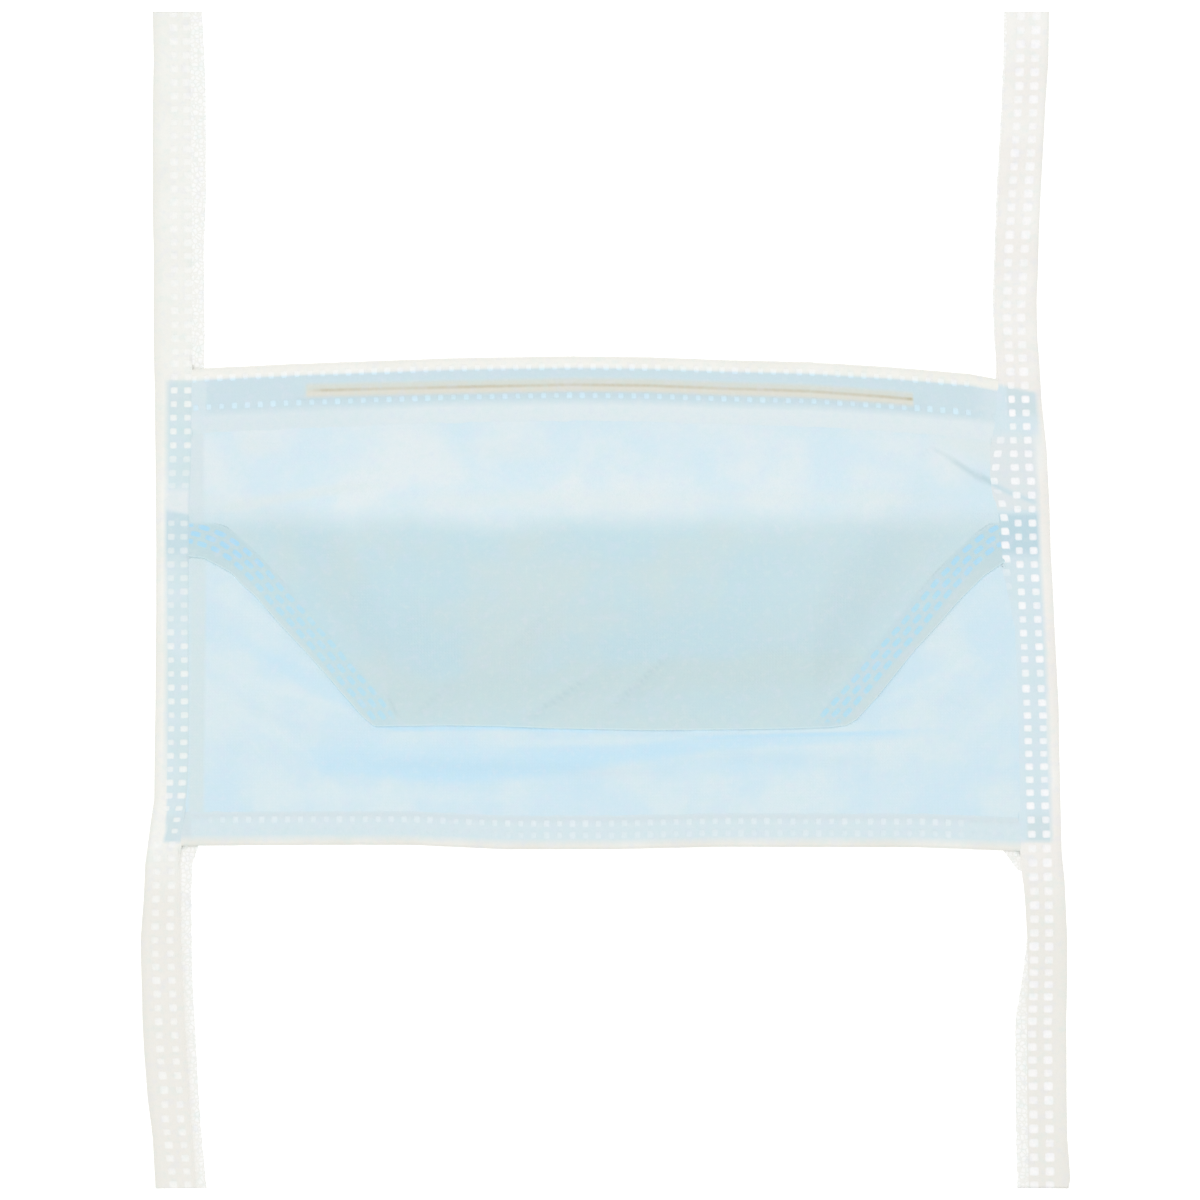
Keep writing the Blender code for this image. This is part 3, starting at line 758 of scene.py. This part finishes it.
RIDGES = banded(
    [(205, 512, 8, 8, 0.3), (240, 505, 10, 8, 0.8), (350, 488, 8, 7, 0.7), (400, 484, 6, 6, 0.0)],
    [(330, 505, 10, 10, 0.0), (450, 502, 14, 12, 0.6), (700, 500, 14, 12, 0.45), (900, 499, 12, 10, 0.4),
     (960, 498, 6, 6, 0.0)],
    [(225, 446, 8, 8, 0.0), (250, 446, 16, 14, 0.5), (300, 450, 12, 10, 0.0)],
    [(440, 448, 8, 8, 0.0), (510, 452, 20, 16, 0.45), (570, 450, 12, 12, 0.0)],
    [(926, 440, 8, 6, 0.0), (952, 440, 16, 14, 0.8), (985, 446, 24, 30, 0.9), (1010, 452, 30, 36, 0.9),
     (1016, 452, 30, 36, 0.0)],
    [(180, 500, 10, 14, 0.0), (190, 500, 12, 14, 0.8), (215, 502, 12, 12, 0.6), (240, 505, 8, 8, 0.0)],
)
# painted shade along drawn creases on the pouch and the panels, partly the cloth doubled in them: ends in
# pixels, half width and strength
CREASE_SHADES = [
    (521, 724, 595, 673, 3.5, 0.55), (600, 719, 675, 649, 3.5, 0.55), (502, 659, 549, 612, 5.0, 0.18),
    (405, 724, 458, 677, 4.0, 0.32), (385, 690, 400, 722, 3.0, 0.5), (918, 462, 934, 444, 3.0, 0.15),
    (926, 444, 962, 464, 3.5, 0.30), (940, 451, 992, 486, 5.0, 0.58), (966, 467, 1018, 498, 5.5, 0.72),
    (992, 486, 1044, 505, 5.0, 0.66),
]


# strength of the painted crease shade at a pixel
def crease_shade_at(px, py):
    total = 0.0
    for ax, ay, bx, by, half, deep in CREASE_SHADES:
        run, off = nearest([(ax, ay), (bx, by)], px, py)
        long = math.hypot(bx - ax, by - ay)
        ends = smooth(run / long / 0.4) * smooth((1 - run / long) / 0.25)
        total = max(total, deep * ends * smooth(1 - abs(off) / half))
    return total


def band_at(bands, px, py):
    """Strength of the strongest soft band at a pixel."""
    total = 0.0
    for band in bands:
        if band[1][0] < px < band[-1][0]:
            middle, up, down, deep = (lookup(band, px, key) for key in ("py", "up", "down", "deep"))
            off = py - middle
            total = max(total, deep * smooth(1.1 - abs(off) / (up if off < 0 else down)))
    return total


def mask_cloth():
    """One sheet folded in a Z: upper panel, pouch front, its bottom fold, back, hinge, lower panel."""
    sides = chord(height_y(0.0), height_y(1.0), 0.0, STRIP + CLEAR)
    shares = spread(0.0, 1.0, 241)
    rows = [("head", t) for t in spread(0.0, 1.0, 5)[:-1]]
    rows += [("upper", t) for t in spread(0.0, 1.0, 34)[:-1]]
    rows += [("pouch", t) for t in spread(0.0, 1.0, 46)[:-1]]
    rows += [("weld", t) for t in spread(0.0, 0.97, 17) + [0.992, 1.0]]
    rows += [("tip", t) for t in (0.25, 0.5, 0.75)]
    rows += [("back", t) for t in spread(0.0, 1.0, 10)]
    rows += [("hinge", t) for t in (0.25, 0.5, 0.75)]
    rows += [("under", t) for t in spread(0.0, 1.0, 9)[:-1]]
    rows += [("lower", t ** 1.5) for t in spread(0.0, 1.0, 44)[:-1]]
    rows += [("foot", t) for t in spread(0.0, 1.0, 5)]
    hinge = height_y(HINGE_SHARE)
    turn = hinge - HINGE_R
    known = []
    for share in shares:
        fold = edge_y(POUCH_EDGE, between(sides, height_y(0.5), share))
        fold = edge_y(POUCH_EDGE, between(sides, fold, share))
        seam = edge_y(WELD_EDGE, between(sides, fold, share))
        seam = min(max(seam, fold + CLOTH * 1.3), turn - CLOTH / 2)
        top = edge_y(TOP_EDGE, between(sides, height_y(1.0), share)) - BIND_IN
        bottom = edge_y(BOTTOM_EDGE, between(sides, height_y(0.0), share)) + BIND_IN
        known.append((fold, seam, top, bottom))

    def place(i, j):
        share = shares[i]
        kind, t = rows[j]
        fold, seam, top, bottom = known[i]
        band = top + BIND_IN - TOP_BAND - CLEAR
        y_low = bottom + BOTTOM_BAND
        marks = {}
        if kind in ("head", "upper", "pouch", "weld"):
            ends = {"head": (top, band), "upper": (band, hinge), "pouch": (hinge, seam)}
            y = mix(*ends.get(kind, (seam, fold)), t)
        elif kind == "tip":
            y = fold - TIP * math.sin(math.pi * t)
        elif kind == "back":
            y = mix(fold, turn, t)
        elif kind == "hinge":
            y = turn + 0.0006 * math.sin(math.pi * t)
        else:
            ends = {"under": (turn, fold), "lower": (fold, y_low), "foot": (y_low, bottom)}
            y = mix(*ends[kind], t)
        x = between(sides, y, share)
        px, py = pixel(x, y + MIDDLE_Y)
        middle = lower_mid(x, min(y, turn))
        back = middle + BACK_RISE
        if kind in ("head", "upper", "pouch"):
            z = front_mid(x, y, seam)
            marks["front"] = 1.0
        elif kind == "weld":
            z = back + FRONT_RISE
            marks["front"] = 1.0
        elif kind == "tip":
            z = back + FRONT_RISE / 2 * (1 + math.cos(math.pi * t))
            marks["front"] = 1.0
        elif kind == "back":
            z = back
        elif kind == "hinge":
            z = mix(back, middle, (1 - math.cos(math.pi * t)) / 2)
        else:
            z = middle
        if kind in ("upper", "pouch", "lower"):
            z = max(z + ripple(x, y), WALL / 2 + 0.00002)
        if kind in ("weld", "pouch", "tip"):
            left = px < MIDDLE_PX
            run, off = nearest(LEFT_DASHES if left else RIGHT_DASHES, px, py)
            marks["dash_run"] = run / DASH_PITCH
            marks["dash_row"] = (off if left else -off) / DASH_ROW
            marks["dash_lean"] = 0.59 if left else 0.5
            marks["dashed"] = smooth((725 - py) / 6) * smooth((abs(x) - 0.040) / 0.002)
            inner = smooth((seam - y) / 0.0008 + 0.5)
            marks["weld"] = inner * smooth((abs(x) - 0.0405) / 0.003)
            marks["margin"] = smooth((-1.25 - marks["dash_row"]) / 0.4)
        if marks.get("front"):
            line_y = 516 + 8 * grain(px * 0.009, 5.0) + 4 * grain(px * 0.05, py * 0.05, 2.0)
            marks["deep"] = smooth((py - line_y + 15) / 38)
            edge = mix(684, 652, smooth((px - 330) / 500)) + 6 * grain(px * 0.02, 9.0)
            marks["olive"] = smooth((py - edge + 8) / 16) * (1 - 0.6 * smooth((py - edge - 22) / 20))
            # painted shade along the creases, partly the cloth doubled in them
            marks["crease_shade"] = crease_shade_at(px, py)
            marks["ridge"] = band_at(RIDGES, px, py)
        else:
            # painted shade below and beside the pouch's fold
            marks["blue"] = band_at(SHADE_BANDS, px, py)
            marks["milky"] = band_at(MILKY_BANDS, px, py)
            # painted light beside the pouch's bottom fold and on its tip, against the shade in the crease
            # there
            marks["lift"] = 0.6 * smooth(1 - (fold - y) / 0.0014) if kind in ("lower", "foot") else 0.0
        if kind == "tip":
            marks["lift"] = 1.0
        if px < 206:
            marks["backed"] = window(px, 187, 3, 205, 2)
        return (x, y + MIDDLE_Y, z), marks

    return woven_grid(
        "mask_cloth", len(shares), len(rows), place, CLOTH_MARKS, WALL, cloth_look(),
        "mask_body",
    )


STRIP_MARKS = (
    "cover", "single", "fold", "lane", "lane_gap", "beat", "pressed", "stack", "pale",
    "ribbon", "hem", "gap", "dusk", "fade", "wire_off", "wire_on", "wire_in",
)
# rows of faces along a strip within one beat, close round its dot; angles round its fold; shares of its
# under leaf's width
CELL = (-0.46, -0.33, -0.23, -0.17, 0.0, 0.17, 0.23, 0.33)
TURNS = spread(0.0, math.pi, 9)[1:]
UNDERS = (0.0, 0.25, 0.5, 0.75, 0.92, 0.99, 1.0)


def press_depth(lane, beat, gap):
    """1 in the pressed floor of a dot and 0 round it."""
    row = min(max(round(lane), 0), 1)
    across = abs(lane - row) * gap
    along = abs(beat - round(beat)) * BEAT_MM
    return smooth((0.62 - across) / 0.16) * smooth((0.58 - along) / 0.16)


def dot_cuts(lane):
    """Places across a leaf round a row of dots, in mm from the fold."""
    return [lane - DOT_OUT, lane - DOT_IN, lane, lane + DOT_IN, lane + DOT_OUT]


def beat_stops(first, last):
    """Places along a strip, in beats: both ends, and close ones round each dot."""
    stops = [first]
    for number in range(math.ceil(first) - 1, math.floor(last) + 2):
        stops += [number + part for part in CELL if first + 0.05 < number + part < last - 0.05]
    return stops + [last]


def draped(heights, places):
    """Lets a leaf down from a step by a gentle slope along the strip, as cloth bridges it."""
    count = len(places)
    raised = []
    for k in range(count):
        near = range(max(k - 18, 0), min(k + 19, count))
        falls = [0.17 * abs(places[m] - places[k]) for m in near]
        columns = range(len(heights[k]))
        raised.append([max(heights[m][c] - fall for m, fall in zip(near, falls)) for c in columns])
    eased = []
    for k in range(count):
        near = raised[max(k - 4, 0):k + 5]
        eased.append([sum(row[c] for row in near) / len(near) for c in range(len(heights[k]))])
    return eased


def side_strip(name, side, lanes, beats, node, skin):
    """A strip folded over at its outer edge: upper leaf, fold and the wider under leaf."""
    by_beat = [(number, py) for py, number in beats]
    stops = beat_stops(line(beats, 10.5), line(beats, 1189.5))
    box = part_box(node)
    high_y = edge_y(TOP_EDGE, side * HALF * 0.9)
    low_y = edge_y(BOTTOM_EDGE, side * HALF)

    def across(py, outer):
        """Places across the upper leaf, and the rows of dots and its edge, in mm from the fold."""
        one, two, three, leaf = (
            (outer - side * photo_x(lookup(lanes, py, key))) / MM for key in ("one", "two", "three", "leaf")
        )
        tops = [0.35, mix(0.35, one - 0.75, 0.5), one - 0.75]
        for lane in (one, two):
            tops += dot_cuts(lane)
        tops.insert(8, (one + two) / 2)
        gone = leaf - (two + DOT_OUT)
        if leaf > three + 0.5:
            tops += [mix(two + DOT_OUT, three - DOT_OUT, 0.5), three - DOT_OUT, three - DOT_IN, three]
            tops += [three + 0.4, mix(three + 0.4, leaf, 0.97), leaf]
        else:
            tops += [two + DOT_OUT + gone * share for share in (0.3, 0.55, 0.75, 0.87, 0.95, 0.99, 1.0)]
        return tops, one, two, three, leaf

    def leaf_z(x, y, off, leaf):
        """Middle of the upper leaf: over the cloth, or over the under leaf where the tie is free."""
        held = min(max(y, low_y + 0.0004), high_y - 0.0004)
        inside = side * min(side * x, side * tie_x(side, held, 0.0) - 0.0018)
        over = shown_top(inside, held) + ribbon_step(held, inside) + REST + LEAF / 2
        dip = 0.65 if side < 0 else 1.3
        sunk = smooth((off - leaf + dip) / (dip - 0.1))
        puff = 0.00030 * (1 - smooth(off / (leaf * 0.75)))
        free = UNDER_Z + LEAF + REST + puff * (1 - sunk) - 0.00020 * sunk
        outside = max(y - high_y, low_y - y, 0.0) / mix(TIE_RAMP, 0.0013, sunk)
        return mix(over - 0.00025 * sunk, free, smooth(outside))

    rows = []
    for beat in stops:
        py = line(by_beat, beat)
        y_shown = min(max(photo_y(py), box[0].y), box[1].y)
        y = y_shown - MIDDLE_Y
        outer = side * tie_x(side, y, 0.0)
        width = lookup(LEFT_TIE if side < 0 else RIGHT_TIE, y_run(y), "width") * TIE_WIDTH / MM
        if side > 0 and 842 < py < 871:
            frayed = (outer - photo_x(1001.5 + 0.75 * max(py - 848, 0.0))) / MM
            width = max(width, mix(width, frayed, smooth((py - 842) / 5)))
        rows.append((beat, py, y_shown, outer, width, *across(py, outer)))
    flat = [
        [leaf_z(side * (outer - off * MM), shown - MIDDLE_Y, off, leaf) for off in tops]
        for beat, py, shown, outer, width, tops, one, two, three, leaf in rows
    ]
    heights = draped(flat, [row[2] for row in rows])
    count = len(flat[0])

    def place(i, j):
        k = j if side > 0 else len(stops) - 1 - j
        beat, py, y_shown, outer, width, tops, one, two, three, leaf = rows[k]
        radius = (heights[k][0] - UNDER_Z) / 2
        marks = {"beat": beat, "lane_gap": two - one, "lane": -3.0}
        drift = 0.10 * grain(beat * 0.31, side * 7.0)
        edge_tone = 0.6 if side < 0 else 0.35
        if i < count:
            off = tops[count - 1 - i]
            z = mix(heights[k][count - 1 - i], flat[k][count - 1 - i], smooth((off - leaf + 1.1) / 0.9))
            lane = (off - one) / (two - one) if off < two else 1 + (off - two) / (three - two)
            press = press_depth(lane, beat, two - one)
            marks["lane"] = lane
            marks["pressed"] = 1.0
            if lane > 1.45:
                marks["lane_gap"] = three - two
            if lane > 1.6:
                marks["pressed"] = lookup(THIRD_ROW, py, "deep") if side > 0 else 0.0
                marks["beat"] = beat + 0.4 * smooth((py - 486) / 8)
            if side < 0:
                marks["pressed"] *= 1 - window(py, 487, 5, 517, 5)
                marks["pressed"] *= 1 - 0.5 * window(py, 450, 12, 500, 5)
                marks["pressed"] *= 0.92 - 0.36 * window(py, 505, 8, 650, 30)
                marks["pressed"] *= 1 - smooth((0.5 - lane) / 0.2) * window(py, 813, 3, 839, 3)
            if off > two + 0.7:
                off += 0.13 * grain(beat * 1.3, 11.0) * smooth((off - two - 0.7) / 0.6)
            z -= 0.00007 * press * min(marks["pressed"], 1.0)
            z += 0.00004 * grain(beat * 1.1, off * 0.9, side * 3.0)
            marks["fold"] = edge_tone * smooth(1 - off / 0.8)
        elif i < count + len(TURNS):
            angle = TURNS[i - count]
            off = 0.35 * (1 - math.sin(angle))
            z = UNDER_Z + radius + radius * math.cos(angle)
            marks["fold"] = edge_tone
        else:
            share = UNDERS[i - count - len(TURNS)]
            off = mix(0.8, width - 0.05 + 0.14 * grain(beat * 1.7, 4.0), share)
            z = UNDER_Z + 0.00002 * grain(beat * 0.9, share * 4, 8.0)
            marks["single"] = smooth((off - leaf + 0.3) / 0.3)
        off += drift * (1 - smooth(off / width * 1.2)) * 0.6
        x = side * (outer - off * MM)
        px = pixel(x, y_shown)[0]
        if side < 0:
            limit = line(LEFT_COVER, py)
            over = smooth((px - limit + 1.0) / 2.5)
            start = 380
            gap = window(py, 485, 10, 512 + (px - 165) * HINGE_TILT, 6)
        else:
            limit = line(RIGHT_COVER, py)
            over = smooth((limit + 1.0 - px) / 2.5)
            start = 384 + max(px - 1000, 0) * 0.22
            gap = 0.0
        over *= window(py, start - 3, 6, 845, 5)
        marks["cover"] = over
        marks["gap"] = gap * over
        # painted shade on the tie below the mask, growing downwards
        marks["dusk"] = smooth((py - 850) / 60)
        deep = 508 + (px - 165) * HINGE_TILT if side < 0 else 511.5
        marks["stack"] = over * window(py, deep, 5, 562, 14)
        # painted shade of the pucker creases at the upper right, laid on the right tie as its thick tone
        pucker_shade = min(1.3 * crease_shade_at(px, py), 1.0) if side > 0 else 0.0
        band = smooth((420 - py) / 10) + smooth((py - 812) / 8)
        marks["ribbon"] = over * min(band, 1.0)
        if side < 0:
            marks["pale"] = smooth((px - 190.0) / 2) * over * (1 - marks["stack"])
        else:
            marks["pale"] = window(py, 428, 16, 511, 3) * over * 0.85 * (1 - pucker_shade)
            marks["stack"] = max(marks["stack"], over * pucker_shade * 0.7)
        if i < count and not (side > 0 and 428 < py < 600):
            marks["fade"] = 0.85 * smooth((off - two - 0.45) / 0.7) * (1 - marks["stack"]) * over
        return (x, y_shown, z), marks

    columns = count + len(TURNS) + len(UNDERS)
    return woven_grid(name, columns, len(stops), place, STRIP_MARKS, LEAF, skin, node)


def wire_drop(x):
    """How far the nose wire's middle lies below the top edge."""
    return lookup(WIRE_LINE, x / HALF, "drop") * TOP_BAND


def edge_strip(name, node, skin, table, width, down, lanes, first, pitch, lean, wire):
    """A strip folded over the top or bottom edge of the cloth, its ends under the ties.

    Down is the way from the fold to the leaf's edge, lanes the rows of dots in mm from the fold, first
    and pitch the first dot's pixel column and the next one's, and lean the lower row's shift in pixels.
    """
    middle = edge_y(table, 0.0)
    ends = [side * (side * tie_x(side, middle, 0.0) - 0.0022) for side in (-1, 1)]
    stops = beat_stops(*[(pixel(x, 0)[0] - first) / pitch for x in ends])
    one, two = lanes
    wide = width / MM
    tops = [0.55, *dot_cuts(one)]
    if wire:
        tops += [one + 0.9, 3.0, 3.5, 4.0, 4.5, 5.0, 5.5, 6.0, 6.5, 6.9]
    else:
        tops += [(one + two) / 2]
    tops += dot_cuts(two)
    tops += [mix(two + DOT_OUT, wide, share) for share in (0.3, 0.6, 0.8, 0.93, 0.99, 1.0)]
    count = len(tops)

    def place(i, j):
        k = j if down > 0 else len(stops) - 1 - j
        beat = stops[k]
        guess = photo_x(first + pitch * beat)
        fold = edge_y(table, guess)
        side = 1 if guess > 0 else -1
        marks = {"beat": beat, "lane_gap": two - one, "lane": -3.0, "ribbon": 1.0}
        inner = side * tie_x(side, fold + down * width / 2, None)
        tucked = smooth((side * guess - inner + 0.0015) / 0.0015)
        low = UNDER_Z + (LEAF + REST) * tucked
        lane = -3.0
        if i < count:
            off = tops[count - 1 - i]
            lane = (off - one) / (two - one)
        elif i < count + len(TURNS):
            angle = TURNS[i - count]
            edge_top = shown_top(guess, fold + down * 1.4 * MM) + REST + LEAF / 2
            radius = (edge_top - low) / 2
            off = 0.55 * (1 - math.sin(angle))
            z = low + radius + radius * math.cos(angle)
        else:
            off = mix(0.8, wide, UNDERS[i - count - len(TURNS)])
            z = low
        marks["lane"] = lane
        x = guess + lean * min(max(lane, 0.0), 1.0) * PIXEL
        px = pixel(x, 0)[0]
        shown = off + 0.05 * grain(beat * 0.8, 31.0) * smooth(1.2 - off)
        if i < count and off > two + 1.0:
            shown += 0.15 * grain(beat * 0.7, 30.0 + down) * smooth((off - two - 1) / 2)
        y = fold + down * shown * MM
        if i < count:
            inside = fold + down * max(off, 1.4) * MM
            z = shown_top(x, inside) + REST + LEAF / 2
            z -= 0.00006 * press_depth(lane, beat, two - one)
            z += 0.00003 * grain(beat * 1.1, off * 0.9, 20.0 + down) * smooth(off - 0.6)
            z -= 0.00026 * smooth((off - wide + 2.2) / 2.1)
            marks["pressed"] = 1 - smooth((lane - 1.4) / 0.2)
        if wire and i < count:
            at = (edge_y(TOP_EDGE, x) - y) / MM
            off_wire = at - wire_drop(x) / MM
            reach = window(x / MM, -62.2, 2.5, 63.6, 2.5)
            z += 0.00056 * reach * smooth((2.4 - abs(off_wire)) / 1.5)
            marks["wire_off"] = off_wire
            marks["wire_on"] = window(x / MM, -59.4, 0.9, 60.8, 0.5)
            marks["wire_in"] = smooth((x / MM + 58.8) / 4.0) * (0.8 + 0.45 * grain(x * 60, 3.0))
            marks["wire_in"] += 0.9 * smooth(1 - abs(x / MM - 59.9) / 0.9)
        if i < count:
            marks["cover"] = smooth((off - (1.85 if wire else 1.0)) / 0.5)
            if wire:
                marks["pale"] = smooth((off - two - 0.6) / 0.9) * mix(0.7, 1.0, smooth((x / MM + 62) / 30))
                marks["pressed"] *= smooth((985 - px) / 20)
                ends = max(0.45 * smooth((207 - px) / 3), 0.4 * smooth((px - 970) / 25))
                marks["pale"] = max(marks["pale"], ends)
            else:
                lower_row = 0.75 * smooth((x / MM + 28) / 20)
                marks["pressed"] *= mix(lower_row, 1.0, smooth(lane)) * (0.85 + 0.5 * grain(x * 40, 8.0))
                marks["pressed"] *= window(px, 206, 8, 975, 25)
                marks["hem"] = max(smooth(1 - abs(off - wide + 1.3) / 1.3), smooth((192 - px) / 3))
            marks["fade"] = 0.9 * smooth((off - wide + 1.1) / 1.1)
        marks["fold"] = 0.55 * smooth(1 - off / 0.9)
        return (x, y + MIDDLE_Y, z), marks

    columns = count + len(TURNS) + len(UNDERS)
    return woven_grid(name, columns, len(stops), place, STRIP_MARKS, LEAF, skin, node)


def nose_wire():
    """The soft wire under the top strip's leaf: a round core in a flat coat."""
    bm = bmesh.new()
    bmesh.ops.create_cone(bm, cap_ends=True, cap_tris=False, segments=28, radius1=1.0, radius2=1.0, depth=1.0)
    long = [edge for edge in bm.edges if abs(edge.verts[0].co.z - edge.verts[1].co.z) > 0.5]
    bmesh.ops.subdivide_edges(bm, edges=long, cuts=90)
    for v in bm.verts:
        angle = math.atan2(v.co.y, v.co.x)
        x = v.co.z * WIRE_LENGTH + 0.0008
        off = WIRE_WIDTH / 2 * math.cos(angle)
        middle = edge_y(TOP_EDGE, x) - wire_drop(x)
        half = 0.00013 * abs(math.sin(angle)) ** 0.5 + WIRE_CORE * math.exp(-(off / 0.00036) ** 2)
        rise = half * (1 if angle > 0 else -1)
        bed = shown_top(x, middle) + REST + 0.00013 + WIRE_CORE
        v.co = (x, middle + off + MIDDLE_Y, bed + rise)
    for face in bm.faces:
        face.smooth = len(face.verts) == 4
    bmesh.ops.recalc_face_normals(bm, faces=bm.faces)
    made = placed("bendable_wire", bm, wire_look())
    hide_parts("nose_wire")
    return made


def wire_look():
    look = Look("coated_wire", 0.4)
    tone = look.noise(0.002, 3.0)
    colour = look.blend(tint(150, 136, 112), tint(176, 164, 138), tone)
    return look.finish(colour, tone, 0.00005, 0.3)


def main():
    scene = bpy.context.scene
    scene.view_settings.view_transform = "Standard"
    scene.view_settings.look = "None"

    cloth = mask_cloth()
    left = side_strip(
        "left_strip", -1, LEFT_LANES, LEFT_BEATS, "left_tie",
        strip_look(
            "left_tie_nonwoven", warm=(241, 241, 235), over_tone=(210, 229, 232), dot=0.64,
            bare=(249, 249, 246), light=(244, 247, 245), band=(211, 227, 231), low=(239, 236, 229),
            edge=(214, 230, 234),
        ),
    )
    right = side_strip(
        "right_strip", 1, RIGHT_LANES, RIGHT_BEATS, "right_tie",
        strip_look(
            "right_tie_nonwoven", warm=(241, 238, 233), over_tone=(213, 230, 236), dot=0.73,
            bare=(252, 251, 251), light=(252, 252, 253), band=(209, 225, 229), low=(237, 235, 228),
            edge=(215, 232, 239), thick=(193, 218, 227), faint=(226, 232, 233),
        ),
    )
    top = edge_strip(
        "top_strip", "top_binding",
        strip_look(
            "top_strip_nonwoven", warm=(243, 242, 235), over_tone=(206, 225, 232), dot=0.60,
            bare=(250, 250, 247), light=(216, 240, 251), band=(206, 225, 232), low=(243, 242, 235),
            edge=(220, 235, 240),
        ),
        TOP_EDGE, TOP_BAND, down=-1, lanes=(2.0, 7.55), first=219.0, pitch=12.9, lean=2.0, wire=True,
    )
    bottom = edge_strip(
        "bottom_strip", "bottom_binding",
        strip_look(
            "bottom_strip_nonwoven", warm=(235, 234, 227), over_tone=(215, 232, 237), dot=0.64,
            bare=(246, 246, 242), light=(229, 240, 244), band=(216, 232, 237), low=(235, 234, 227),
            edge=(213, 232, 240),
        ),
        BOTTOM_EDGE, BOTTOM_BAND, down=1, lanes=(2.7, 5.0), first=222.0, pitch=12.98, lean=0.0, wire=False,
    )
    wire = nose_wire()
    for piece in (cloth, left, right, top, bottom, wire):
        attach(piece, "root")


def studio():
    scene = bpy.context.scene
    world = bpy.data.worlds.new("studio")
    scene.world = world
    world.use_nodes = True
    world.node_tree.nodes["Background"].inputs["Color"].default_value = (1.0, 1.0, 1.0, 1.0)
    world.node_tree.nodes["Background"].inputs["Strength"].default_value = 0.86

    skin = bpy.data.materials.new("pale_floor")
    skin.use_nodes = True
    shader = skin.node_tree.nodes["Principled BSDF"]
    shader.inputs["Base Color"].default_value = (0.9, 0.9, 0.9, 1.0)
    shader.inputs["Roughness"].default_value = 1.0
    shader.inputs["Specular IOR Level"].default_value = 0.0
    shader.inputs["Emission Color"].default_value = (1.0, 1.0, 1.0, 1.0)
    shader.inputs["Emission Strength"].default_value = 0.35
    bm = bmesh.new()
    bmesh.ops.create_grid(bm, x_segments=1, y_segments=1, size=3.0)
    floor = placed("floor", bm, skin)

    lamp = bpy.data.lights.new("window", "AREA")
    lamp.energy = 5.0
    lamp.size = 1.6
    key = bpy.data.objects.new("window", lamp)
    key.location = (-0.25, 0.5, 1.5)
    key.rotation_euler = (Vector((0, 0, 0)) - key.location).to_track_quat("-Z", "Y").to_euler()
    scene.collection.objects.link(key)

    lens = bpy.data.cameras.new("camera")
    lens.type = "PERSP"
    lens.sensor_width = SENSOR_MM
    lens.lens = SENSOR_MM * SCALE_DISTANCE / (PICTURE * PIXEL)
    camera = bpy.data.objects.new("camera", lens)
    camera.location = (photo_x(PICTURE / 2), 0.0, CAMERA_Z)
    scene.collection.objects.link(camera)
    scene.camera = camera


main()
studio()
